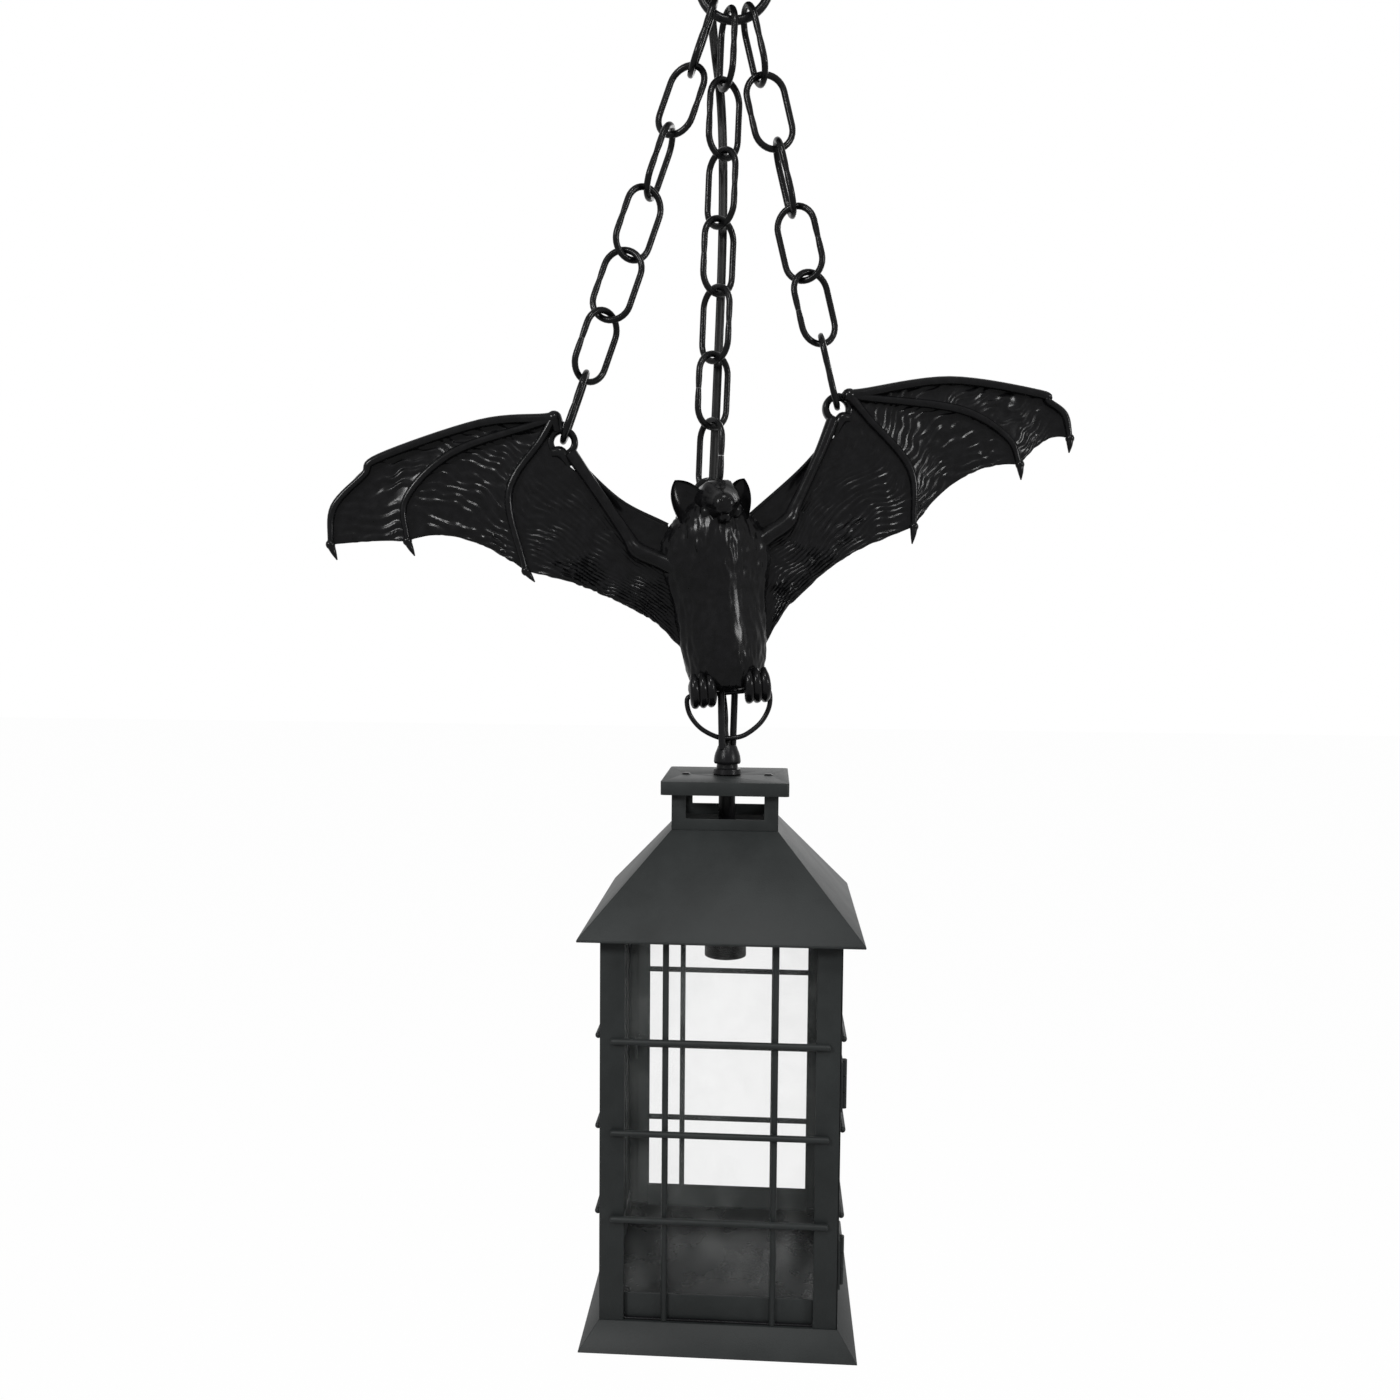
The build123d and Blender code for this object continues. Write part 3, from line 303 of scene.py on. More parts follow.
class Nodes:
    """The shader nodes of a material or of the world."""

    def __init__(self, owner):
        self.owner = owner
        owner.use_nodes = True
        self.tree = owner.node_tree
        self.tree.nodes.clear()

    def node(self, kind, settings, sockets, output=0):
        """Adds a node with its settings and its sockets, each by name or number."""
        made = self.tree.nodes.new(kind)
        for key, value in settings.items():
            setattr(made, key, value)
        for key, value in sockets.items():
            plug(self.tree, value, made.inputs[key])
        return Socket(self.tree, made.outputs[output]) if made.outputs else None

    def seen(self):
        """1 for rays from the eye, in gloss or through glass, and 0 for those that carry light."""
        rays = [
            self.node("ShaderNodeLightPath", {}, {}, f"Is {ray} Ray")
            for ray in ("Camera", "Glossy", "Transmission")
        ]
        total = rays[0] + rays[1] + rays[2]
        return total.math("MINIMUM", total, 1.0)


class Paint(Nodes):
    """A material in the making."""

    def __init__(self, name):
        super().__init__(bpy.data.materials.new("dressed_" + name))
        self.place = self.node("ShaderNodeTexCoord", {}, {}, "Object")

    def noise(self, scale, detail, rough=0.55, stretch=None):
        place = self.place
        if stretch:
            sockets = {0: place, 1: stretch}
            place = self.node("ShaderNodeVectorMath", {"operation": "MULTIPLY"}, sockets)
        sockets = {"Vector": place, "Scale": scale, "Detail": detail, "Roughness": rough}
        return self.node("ShaderNodeTexNoise", {}, sockets, "Fac")

    def ramp(self, value, low, high):
        sockets = {"Value": value, "From Min": low, "From Max": high}
        return self.node("ShaderNodeMapRange", {"clamp": True}, sockets, "Result")

    def mix(self, share, dark, pale):
        """A colour between two, through the colour sockets of a Mix node."""
        return self.node("ShaderNodeMix", {"data_type": "RGBA"}, {0: share, 6: dark, 7: pale}, 2)

    def bump(self, height, strength, distance):
        sockets = {"Height": height, "Strength": strength, "Distance": distance}
        return self.node("ShaderNodeBump", {}, sockets, "Normal")

    def finish(self, sockets):
        return self.surface(self.node("ShaderNodeBsdfPrincipled", {}, sockets, "BSDF"))

    def surface(self, shader):
        self.node("ShaderNodeOutputMaterial", {}, {"Surface": shader})
        return self.owner


def tint(colour, factor=1.0, lift=0.0):
    """A colour with its alpha, made paler or darker."""
    return tuple(factor * part + lift for part in colour) + (1.0,)


def coat_of_paint(name, colour, rough, grain, depth, shine):
    """Paint on metal: fine orange peel, uneven sheen, dust in a paler tone and rubbed spots."""
    paint = Paint(name)
    peel = paint.noise(grain, 2.0)
    cloud = paint.noise(38.0, 4.0)
    speck = paint.ramp(paint.noise(620.0, 2.0), 0.66, 0.74)
    dust = paint.ramp(cloud, 0.35, 0.75) * 0.45 + speck * 0.15
    return paint.finish({
        "Base Color": paint.mix(dust, tint(colour), tint(colour, 1.9, 0.004)),
        "Roughness": rough + 0.16 * (cloud - 0.5) + 0.10 * speck,
        "Normal": paint.bump(peel + 0.4 * cloud, 0.35, depth),
        "Specular IOR Level": shine,
    })


def cast_paint(colour):
    """Gloss black on rough cast iron, with fur-like streaks taken up by the casting."""
    paint = Paint("cast_bat")
    lump = paint.noise(210.0, 4.0, 0.6)
    fine = paint.noise(950.0, 2.0)
    streak = paint.noise(300.0, 4.0, 0.5, (1.0, 1.0, 0.3))
    return paint.finish({
        "Base Color": paint.mix(paint.ramp(lump, 0.3, 0.8), tint(colour), tint(colour, 2.5)),
        "Roughness": 0.19 + 0.20 * (lump - 0.4),
        "Normal": paint.bump(0.6 * lump + 0.2 * fine + 0.3 * streak, 0.2, 0.0005),
        "Specular IOR Level": 0.09,
    })


def bare_metal(name, colour, rough):
    """Turned or drawn metal with fine lines round it and dull patches."""
    paint = Paint(name)
    line = paint.noise(420.0, 4.0, 0.5, (0.2, 0.2, 6.0))
    cloud = paint.noise(90.0, 4.0)
    return paint.finish({
        "Base Color": paint.mix(paint.ramp(cloud, 0.35, 0.7), tint(colour, 0.55), tint(colour)),
        "Roughness": rough + 0.2 * (cloud - 0.5),
        "Metallic": 1.0,
        "Normal": paint.bump(line, 0.2, 0.0002),
    })


def window_glass():
    """Clear sheet glass with a faint film of dust."""
    paint = Paint("pane_glass")
    film = paint.ramp(paint.noise(60.0, 5.0), 0.45, 0.85)
    smear = paint.ramp(paint.noise(14.0, 3.0), 0.5, 0.8)
    return paint.finish({
        "Base Color": paint.mix(film, (0.20, 0.215, 0.21, 1.0), (0.42, 0.43, 0.42, 1.0)),
        "Roughness": 0.03 + 0.10 * smear,
        "Alpha": 0.035 + 0.03 * film + 0.03 * smear,
        "IOR": 1.46,
    })


def jacket(colour):
    """Soft black cord covering with a dull, slightly uneven skin."""
    paint = Paint("cord_jacket")
    grain = paint.noise(700.0, 3.0)
    cloud = paint.noise(55.0, 3.0)
    return paint.finish({
        "Base Color": paint.mix(cloud, tint(colour), tint(colour, 2.3)),
        "Roughness": 0.40 + 0.2 * (cloud - 0.5),
        "Normal": paint.bump(grain, 0.25, 0.0002),
        "Specular IOR Level": 0.12,
    })


FINISHES = {}


def finishes():
    """Every finish by the name of its slot, made once."""
    if not FINISHES:
        chosen = bpy.context.scene.lantern
        coats = (
            # finish, colour, roughness, scale and depth of the orange peel, shine
            ("painted_steel", tuple(chosen.paint), 0.46, 1300.0, 0.00025, 0.13),
            ("black_hardware", (0.004, 0.004, 0.0045), 0.28, 1700.0, 0.0002, 0.1),
            ("chain_wire", tuple(chosen.wire), 0.22, 900.0, 0.0003, 0.1),
            ("socket_plastic", (0.006, 0.006, 0.006), 0.36, 2200.0, 0.0001, 0.25),
        )
        FINISHES.update({coat[0]: coat_of_paint(*coat) for coat in coats})
        FINISHES.update(
            plain_steel=bare_metal("plain_steel", (0.42, 0.41, 0.40), 0.36),
            contact_brass=bare_metal("contact_brass", (0.72, 0.52, 0.24), 0.30),
            cast_bat=cast_paint(tuple(chosen.casting)),
            pane_glass=window_glass(),
            cord_jacket=jacket(tuple(chosen.cord)),
        )
    return FINISHES


def bat_axis(a, b, c):
    """A step across the bat, to the right as seen from the front, up along it and forward."""
    lean, turn = math.radians(BAT_LEAN), math.radians(BAT_TURN)
    x = a * math.cos(lean) - b * math.sin(lean)
    z = a * math.sin(lean) + b * math.cos(lean)
    return Vector(
        (x * math.cos(turn) + c * math.sin(turn), x * math.sin(turn) - c * math.cos(turn), z)
    )


def bat_point(a, b, c=0.0):
    """A place on the bat, counted from its feet."""
    return bat_axis(a, b, c) + Vector((0, 0, FEET_Z))


def smooth(value):
    """A soft step from 0 to 1."""
    value = min(max(value, 0.0), 1.0)
    return value * value * (3 - 2 * value)


def swell(height, *offsets):
    """A soft swelling, full where every offset is 0."""
    return height * math.exp(-sum(offset ** 2 for offset in offsets))


def flow(points, steps):
    """A smooth run through points of any number of values, with steps to each stretch."""
    points = [Vector(point) for point in points]
    ends = [2 * points[0] - points[1]] + points + [2 * points[-1] - points[-2]]
    run = []
    for before, here, there, after in zip(ends, ends[1:], ends[2:], ends[3:]):
        for step in range(steps):
            t = step / steps
            run.append(
                0.5 * (2 * here + (there - before) * t
                       + (2 * before - 5 * here + 4 * there - after) * t * t
                       + (3 * here - before - 3 * there + after) * t ** 3)
            )
    return run + [points[-1]]


def walk(points, count):
    """Points at even distances along a run."""
    points = [Vector(point) for point in points]
    reach = [0.0]
    for here, there in zip(points, points[1:]):
        reach.append(reach[-1] + (there - here).length)
    even = []
    index = 0
    for step in range(count + 1):
        want = reach[-1] * step / count
        while index < len(points) - 2 and reach[index + 1] < want:
            index += 1
        span = max(reach[index + 1] - reach[index], 1e-9)
        share = min(max((want - reach[index]) / span, 0), 1)
        even.append(points[index].lerp(points[index + 1], share))
    return even


def arched(start, middle, end, count=24):
    """A bow through three points."""
    start, middle, end = Vector(start), Vector(middle), Vector(end)
    pull = 2 * middle - (start + end) / 2
    steps = [step / count for step in range(count + 1)]
    return [start * (1 - t) ** 2 + pull * (2 * t * (1 - t)) + end * t * t for t in steps]


def circle(count):
    """Angles at even steps round a full turn."""
    return [2 * math.pi * number / count for number in range(count)]


def skin(mesh, rows, closed=False, caps=False):
    """Faces between rows of points, each row open or closed round."""
    grid = [[mesh.verts.new(point) for point in row] for row in rows]
    for row, following in zip(grid, grid[1:]):
        count = len(row) if closed else len(row) - 1
        for number in range(count):
            after = (number + 1) % len(row)
            mesh.faces.new((row[number], row[after], following[after], following[number]))
    if caps:
        mesh.faces.new(list(reversed(grid[0])))
        mesh.faces.new(grid[-1])


def sweep(mesh, points, section, up, closed=False):
    """A section of offsets, given for each point's number, carried along a run of points."""
    count = len(points)
    rows = []
    across = Vector(up)
    for number, point in enumerate(points):
        before = points[number - 1] if number or closed else point
        after = points[(number + 1) % count] if number < count - 1 or closed else point
        way = (after - before).normalized()
        across = (across - way * across.dot(way)).normalized()
        side = way.cross(across)
        rows.append([point + across * x + side * y for x, y in section(number)])
    if closed:
        rows.append(rows[0])
    skin(mesh, rows, True, not closed)


def tube(mesh, points, radii, up, sides, closed=False):
    """Round wire or bone along a run of points, with a radius for each."""

    def section(number):
        return [(radii[number] * math.cos(t), radii[number] * math.sin(t)) for t in circle(sides)]

    sweep(mesh, points, section, up, closed)


def turned(mesh, profile, centre, axis, sides, closed=False):
    """A turned form: (radius, height) pairs carried round an axis."""
    axis = Vector(axis).normalized()
    side = axis.orthogonal().normalized()
    other = axis.cross(side)
    spokes = [side * math.cos(t) + other * math.sin(t) for t in circle(sides)]
    rows = [[Vector(centre) + axis * h + spoke * r for spoke in spokes] for r, h in profile]
    if closed:
        rows.append(rows[0])
    skin(mesh, rows, True, not closed)


def ball(mesh, place, half_sizes, rings, sides):
    """A rounded lump on the bat, with half sizes across, up and forward."""
    centre = bat_point(*place)
    wide, tall, deep = half_sizes
    right, up, forward = bat_axis(wide, 0, 0), bat_axis(0, tall, 0), bat_axis(0, 0, deep)
    rows = []
    for ring in range(rings + 1):
        tilt = math.pi * (0.02 + 0.96 * ring / rings)
        out, along = math.sin(tilt), math.cos(tilt)
        rows.append([
            centre + right * out * math.cos(t) + up * out * math.sin(t) + forward * along
            for t in circle(sides)
        ])
    skin(mesh, rows, True, True)


def make(name, mesh, slot, body, replaced=(), sharp=50.0):
    """Turns a mesh in millimetres into a piece that rides on a body."""
    if not mesh.faces:
        raise RuntimeError(f"{name} has no faces")
    bmesh.ops.remove_doubles(mesh, verts=mesh.verts, dist=1e-4)
    bmesh.ops.recalc_face_normals(mesh, faces=mesh.faces)
    mesh.transform(Matrix.Scale(MM, 4))
    data = bpy.data.meshes.new(name)
    mesh.to_mesh(data)
    mesh.free()
    for face in data.polygons:
        face.use_smooth = True
    data.set_sharp_from_angle(angle=math.radians(sharp))
    piece = bpy.data.objects.new(name, data)
    bpy.context.scene.collection.objects.link(piece)
    data.materials.append(finishes()[slot])
    if body:
        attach(piece, body)
    if replaced:
        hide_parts(*replaced)
    return piece


def dress(slot, *nodes):
    """Gives solids of the frame their finish."""
    for node in nodes:
        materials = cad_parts[node].data.materials
        materials.clear()
        materials.append(finishes()[slot])


def round_edges(mesh, edges, width):
    """Rounds sharp edges of sheet metal softly."""
    bmesh.ops.bevel(
        mesh, geom=edges, offset=width, segments=2, profile=0.5, affect="EDGES", clamp_overlap=True
    )


def eased(node, slot, body, width):
    """A copy of a folded or cut piece with softly rounded edges, in place of the sharp one."""
    mesh = bmesh.new()
    mesh.from_mesh(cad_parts[node].data)
    mesh.transform(Matrix.Scale(1 / MM, 4))
    bmesh.ops.remove_doubles(mesh, verts=mesh.verts, dist=1e-3)
    bmesh.ops.dissolve_limit(
        mesh, angle_limit=math.radians(2), verts=mesh.verts, edges=mesh.edges
    )
    edges = [
        edge for edge in mesh.edges
        if len(edge.link_faces) == 2 and edge.calc_face_angle(0.0) > math.radians(40)
    ]
    round_edges(mesh, edges, width)
    return make("eased_" + node, mesh, slot, body, (node,), 35.0)


class LanternSettings(bpy.types.PropertyGroup):
    """Sizes and colours of the looks that a user may change before building."""

    wrinkle: bpy.props.FloatProperty(
        name="Wrinkle depth", description="Height of the fine folds in the wings, in millimetres",
        default=0.42, min=0.0, max=1.0,
    )
    cup: bpy.props.FloatProperty(
        name="Wing cupping",
        description="How far the wing skin sinks between its bones, in millimetres",
        default=2.6, min=0.0, max=4.0,
    )
    fur: bpy.props.FloatProperty(
        name="Fur depth", description="Height of the cast fur on the body, in millimetres",
        default=0.7, min=0.0, max=1.5,
    )
    edge: bpy.props.FloatProperty(
        name="Edge rounding", description="Rounding of the sheet metal's edges, in millimetres",
        default=0.35, min=0.1, max=0.5,
    )
    paint: bpy.props.FloatVectorProperty(
        name="Sheet metal paint", description="Colour of the lantern's painted sheet metal",
        subtype="COLOR", size=3, default=(0.012, 0.0135, 0.0135), min=0.0, max=1.0,
    )
    casting: bpy.props.FloatVectorProperty(
        name="Casting paint", description="Colour of the gloss paint on the cast bat",
        subtype="COLOR", size=3, default=(0.002, 0.002, 0.0022), min=0.0, max=1.0,
    )
    wire: bpy.props.FloatVectorProperty(
        name="Chain paint", description="Colour of the paint on the chains",
        subtype="COLOR", size=3, default=(0.002, 0.002, 0.0022), min=0.0, max=1.0,
    )
    cord: bpy.props.FloatVectorProperty(
        name="Cord covering", description="Colour of the cord's covering",
        subtype="COLOR", size=3, default=(0.005, 0.005, 0.005), min=0.0, max=1.0,
    )
    camera_lens: bpy.props.FloatProperty(
        name="Focal length",
        description="Focal length of the camera on a 36 mm frame, in millimetres",
        default=29.78, min=10.0, max=200.0, unit="CAMERA",
    )


def link_points(inner):
    """The middle line of one oval link, from one side of its slit round to the other."""
    straight = (inner - LINK_INSIDE) / 2

    def half_turn(start, rise):
        turns = [start + math.pi * step / 16 for step in range(17)]
        return [
            Vector((LINK_BEND * math.cos(t), rise + LINK_BEND * math.sin(t), 0)) for t in turns
        ]

    return [
        Vector((LINK_BEND, LINK_SLIT, 0)), Vector((LINK_BEND, straight / 2, 0)),
        *half_turn(0.0, straight), Vector((-LINK_BEND, 0, 0)), *half_turn(math.pi, -straight),
        Vector((LINK_BEND, -straight / 2, 0)), Vector((LINK_BEND, -LINK_SLIT, 0)),
    ]


def chain_mesh(inner, hang, hole, spins):
    """One chain of round wire links, each closed on a slit."""
    turn = math.radians(hang)
    start = Vector((EYE_R * math.sin(turn), 0, EYE_Z - EYE_R * math.cos(turn)))
    end = bat_point(*hole)
    run = (end - start).normalized()
    first = start + run * (inner / 2 - EYE_WIRE - LINK_PLAY)
    last = end - run * (inner / 2 + LINK_AT_HOLE)
    side = (Vector((1, 0, 0)) - run * run.x).normalized()
    depth = run.cross(side)
    mesh = bmesh.new()
    for number, spin in enumerate(spins):
        angle = math.radians(spin)
        across = side * math.cos(angle) + depth * math.sin(angle)
        out = run.cross(across)
        along = out.cross(across)
        middle = first.lerp(last, number / (len(spins) - 1))
        points = [middle + across * p.x + along * p.y for p in link_points(inner)]
        radii = [LINK_END] + [LINK_WIRE] * (len(points) - 2) + [LINK_END]
        tube(mesh, points, radii, out, 14)
    return mesh


class LANTERN_OT_canopy(bpy.types.Operator):
    """Finishes the ceiling canopy and bends its loop from round wire"""

    bl_idname = "lantern.canopy"
    bl_label = "Canopy"

    def execute(self, context):
        dress("black_hardware", "canopy_dish", "loop_collar")
        dress("plain_steel", "canopy_nut")
        dress("socket_plastic", "cord_bushing")
        mesh = bmesh.new()
        ring = [Vector((EYE_R * math.sin(t), 0, EYE_Z + EYE_R * math.cos(t))) for t in circle(64)]
        tube(mesh, ring, [EYE_WIRE] * len(ring), (0, 1, 0), 18, True)
        turned(mesh, EYE_STUD, (0, 0, 0), (0, 0, 1), 32)
        make("canopy_loop_wire", mesh, "black_hardware", "canopy", ("canopy_loop",))
        return {"FINISHED"}


class LANTERN_OT_chains(bpy.types.Operator):
    """Bends the three chains of oval links"""

    bl_idname = "lantern.chains"
    bl_label = "Chains"

    def execute(self, context):
        for name, plan in CHAINS.items():
            mesh = chain_mesh(*plan)
            make("links_" + name, mesh, "chain_wire", "suspension", ("chain_" + name,))
        return {"FINISHED"}


def patch(mesh, near, far, start, end, across, down, depth):
    """A skin inside four runs of points, sunk at each place by depth(u, v, place)."""
    near, far = walk(near, across), walk(far, across)
    start, end = walk(start, down), walk(end, down)
    rows = []
    for j in range(down + 1):
        v = j / down
        row = []
        for i in range(across + 1):
            u = i / across
            flat = (
                near[i] * (1 - v) + far[i] * v + start[j] * (1 - u) + end[j] * u
                - near[0] * (1 - u) * (1 - v) - near[-1] * u * (1 - v)
                - far[0] * (1 - u) * v - far[-1] * u * v
            )
            row.append(bat_point(flat.x, flat.y, depth(u, v, flat)))
        rows.append(row)
    skin(mesh, rows)


def folds(count, wrinkle, cup, seed, free):
    """Depth of a wing skin: sunk between the bones, with wavy folds along the trailing edge."""

    def cloud(flat, scale, layer):
        return noise.noise(Vector((flat.x * scale, flat.y * scale, seed + layer)))

    def depth(u, v, flat):
        sway, ripple = cloud(flat, 0.035, 0), cloud(flat, 0.11, 7)
        fade = smooth(u * 7) * smooth((1 - u) * 7) * smooth(v * 5)
        wave = math.sin(2 * math.pi * (count * v + 2.1 * sway + 0.7 * ripple))
        ridge = 2.6 * (0.5 + 0.5 * wave) ** 2.6 - 1.0
        ridge *= 0.75 + 0.9 * cloud(flat, 0.06, 3)
        relief = wrinkle * fade * (0.45 + 0.55 * v) * ridge + 0.25 * ripple * fade
        sink = math.sin(math.pi * u) ** 0.7 * math.sin(math.pi * (0.5 * v if free else v))
        return SKIN_DEPTH - cup * sink + relief

    return depth


def bone(mesh, points, steps, sides):
    """A tapering bone through (across, up, forward, half width) points."""
    run = flow(points, steps)
    places = [bat_point(p[0], p[1], p[2]) for p in run]
    tube(mesh, places, [max(p[3], 0.2) for p in run], bat_axis(0, 0, 1), sides)


def lug(mesh, place, radius, wide, level, deep):
    """An eye for a chain's end: a soft square section carried round a hole."""

    def soft(value):
        return math.copysign(abs(value) ** 0.6, value)

    ring = [
        (radius + wide * soft(math.cos(t)), level + deep * soft(math.sin(t))) for t in circle(20)
    ]
    turned(mesh, ring, bat_point(*place), bat_axis(0, 0, 1), 40, True)


def wing_plan(which):
    """The named points of a wing, 0 left or 1 right, with those that follow from them."""
    w = {name: Vector(pair[which]) for name, pair in WINGS.items()}
    hole, side = w["hole"], 2 * which - 1
    w["hub"] = hole.lerp(w["wrist"], 0.8)
    w["root"] = Vector((side * 15, WINGS["elbow"][which][1] - 17))
    for name, toward, reach in (
        ("lug_low", "arm", 8.0), ("lug_out", "fourth_mid", 8.4), ("lug_high", "hub", 7.0)
    ):
        w[name] = hole + (w[toward] - hole).normalized() * reach
    return w


def wing_skins(sheet, w, settings):
    """The four skins of one wing, between its bones and the scalloped trailing edge."""
    side = 1 if w["tip"].x > 0 else -1
    wrinkle, cup = settings.wrinkle, settings.cup

    def run(*names):
        return [w[name] for name in names]

    hub = w["hub"]
    at_hub = [hub, hub + Vector((0.1, 0))]
    arm = run("root", "elbow", "arm")
    fourth = flow(run("hub", "fourth_mid", "fourth"), 10)
    third = flow(run("hub", "third_mid", "third_low", "third"), 8)
    lead = flow(run("hub", "lead", "lead_end", "bend", "tip"), 8)
    trail = flow(run("trail", "flank", "scallop_4", "fourth"), 16)
    flank = [w["root"], Vector((side * 17, 60)), Vector((side * 19, 40)), w["trail"]]
    patch(
        sheet, arm + [w["lug_out"], hub], trail, flank, fourth, 80, 130,
        folds(17, wrinkle, cup, 1 + side, True),
    )
    patch(
        sheet, at_hub, arched(*run("fourth", "scallop_3", "third")), fourth, third, 40, 130,
        folds(17, wrinkle, cup, 11 + side, True),
    )
    patch(
        sheet, at_hub, arched(*run("third", "scallop_2", "tip")), third, lead, 36, 120,
        folds(15, wrinkle, 0.8 * cup, 21 + side, True),
    )
    patch(
        sheet, arched(*run("neck", "edge", "edge_end")), arm + [w["lug_low"]],
        run("neck", "root"), run("edge_end", "lug_low"), 40, 16,
        folds(2, 0.3 * wrinkle, 0.7 * cup, 31 + side, False),
    )


def wing_bones(mesh, w):
    """The bones, claws, knuckles and chain lug of one wing."""

    def at(name, *rest):
        *toward, forward, half = rest
        point = w[name].lerp(w[toward[0]], toward[1]) if toward else w[name]
        return (point.x, point.y, forward, half)

    for steps, sides, places in WING_BONES:
        bone(mesh, [at(*place) for place in places], steps, sides)
    for name in CLAWS:
        claw = name + "_claw"
        ball(mesh, (*w[name], 0.0), KNUCKLE, 8, 12)
        bone(mesh, [at(name, 0.0, 2.3), at(name, claw, 0.5, 0.5, 1.6), at(claw, 0.2, 0.35)], 5, 10)
    ball(mesh, (*w["hub"], 0.2), WRIST, 8, 14)
    lug(mesh, w["hole"], *WING_LUG)


def torso(mesh, settings):
    """The body from its feet to its neck, spread into the wings, furred on chest and flanks."""
    rows = []
    for b, r, spread in flow(BODY, 7):
        row = []
        for turn in circle(BODY_SIDES):
            a, c = r * math.sin(turn), r * math.cos(turn)
            a += math.copysign(spread * abs(math.sin(turn)) ** 7, a)
            tuft = noise.noise(Vector((a * 0.42, b * 0.10, c * 0.42)))
            hair = noise.noise(Vector((a * 1.1, b * 0.22, c * 1.1 + 5)))
            front = smooth((math.cos(turn) - 0.5) * 4)
            bare = front * smooth((b - 18) / 12) * smooth((72 - b) / 14)
            puff = settings.fur * (1 - 0.75 * bare) * (0.9 * tuft + 0.75 * hair)
            grow = (r + puff) / max(r, 1e-6)
            in_slot = b < SLOT_TOP and abs(a) < SLOT_HALF
            back = SLOT_BACK if in_slot else BODY_BACK + 0.3 * tuft
            row.append(bat_point(a * grow, b, max(c * grow, back)))
        rows.append(row)
    skin(mesh, rows, True, True)


def head(mesh, settings):
    """A small furred head with a short muzzle, bead eyes, nostrils, cheeks, teeth and a jaw."""
    rows = []
    for c, b, wide, tall in flow(HEAD, 5):
        row = []
        for turn in circle(HEAD_SIDES):
            a, rise = wide * math.cos(turn), tall * math.sin(turn)
            hair = noise.noise(Vector((a * 0.7, rise * 0.7, c * 0.3)))
            relief = 0.6 * settings.fur * hair * smooth((22 - c) / 8)
            if rise > 0:
                relief += swell(1.3, (c - 13) / 4, (abs(a) - 6.2) / 2.6)
                relief += swell(-1.2, (c - 18.5) / 3, a / 2.2)
            relief += swell(-0.8, (rise + 2.6) / 0.8) * smooth((c - 18) / 4)
            grow = 1 + relief / max(math.hypot(a, rise), 2.0)
            row.append(bat_point(2.5 + 0.085 * c + a * grow, b + rise * grow, c))
        rows.append(row)
    skin(mesh, rows, True, True)
    for side in (1, -1):
        for middle, offset, up, forward, half_sizes, sides in FACE:
            ball(mesh, (middle + side * offset, up, forward), half_sizes, 8, sides)
        tooth = [(4.8 + side * offset, up, forward, half) for offset, up, forward, half in TOOTH]
        bone(mesh, tooth, 3, 8)
    bone(mesh, JAW, 5, 14)


def ear(mesh, outer, outer_middle, tip, inner, inner_middle):
    """One pointed upright ear, hollow in front."""
    lefts = arched(outer, outer_middle, tip, EAR_ROWS)
    rights = arched(inner, inner_middle, tip, EAR_ROWS)
    rows = []
    for number, (left, right) in enumerate(zip(lefts, rights)):
        t = number / EAR_ROWS
        front, back = [], []
        for step in range(EAR_STEPS + 1):
            s = step / EAR_STEPS
            place = left.lerp(right, s)
            bowl = 4.2 * (4 * s * (1 - s)) ** 0.8 * (1 - t) ** 0.5
            rim = swell(1.1, min(s, 1 - s) / 0.12) * (1 - 0.7 * t)
            front.append(bat_point(place.x, place.y, 9.5 - bowl + rim))
            back.append(bat_point(place.x, place.y, 8.0 - bowl - 0.9 * (1 - t)))
        rows.append(front + back[::-1])
    skin(mesh, rows, True, True)


def legs(mesh):
    """Feet and toes that close on the ring."""
    for side in (1, -1):
        ball(mesh, (side * FOOT_AT[0], *FOOT_AT[1:]), FOOT_SIZE, 14, 22)
        for at in TOES:
            toe = [(side * (at + lean), up, forward, half) for lean, up, forward, half in TOE]
            bone(mesh, toe, 5, 12)


class LANTERN_OT_bat(bpy.types.Operator):
    """Models the cast bat with wing skins, bones, claws, fur and head"""

    bl_idname = "lantern.bat"
    bl_label = "Bat"

    def execute(self, context):
        settings = context.scene.lantern
        mesh, sheet = bmesh.new(), bmesh.new()
        torso(mesh, settings)
        head(mesh, settings)
        for shape in EARS:
            ear(mesh, *shape)
        legs(mesh)
        lug(mesh, NECK_TAB, *NECK_LUG)
        bone(mesh, NECK_STRUT, 5, 14)
        for w in (wing_plan(0), wing_plan(1)):
            wing_skins(sheet, w, settings)
            wing_bones(mesh, w)
        make("bat_figure", mesh, "cast_bat", "suspension", ("bat_casting",), 60.0)
        skins = make("bat_skins", sheet, "cast_bat", "suspension", (), 60.0)
        solid = skins.modifiers.new("thickness", "SOLIDIFY")
        solid.thickness = SKIN_THICKNESS * MM
        solid.offset = 0.0
        dress("black_hardware", "foot_pin")
        return {"FINISHED"}


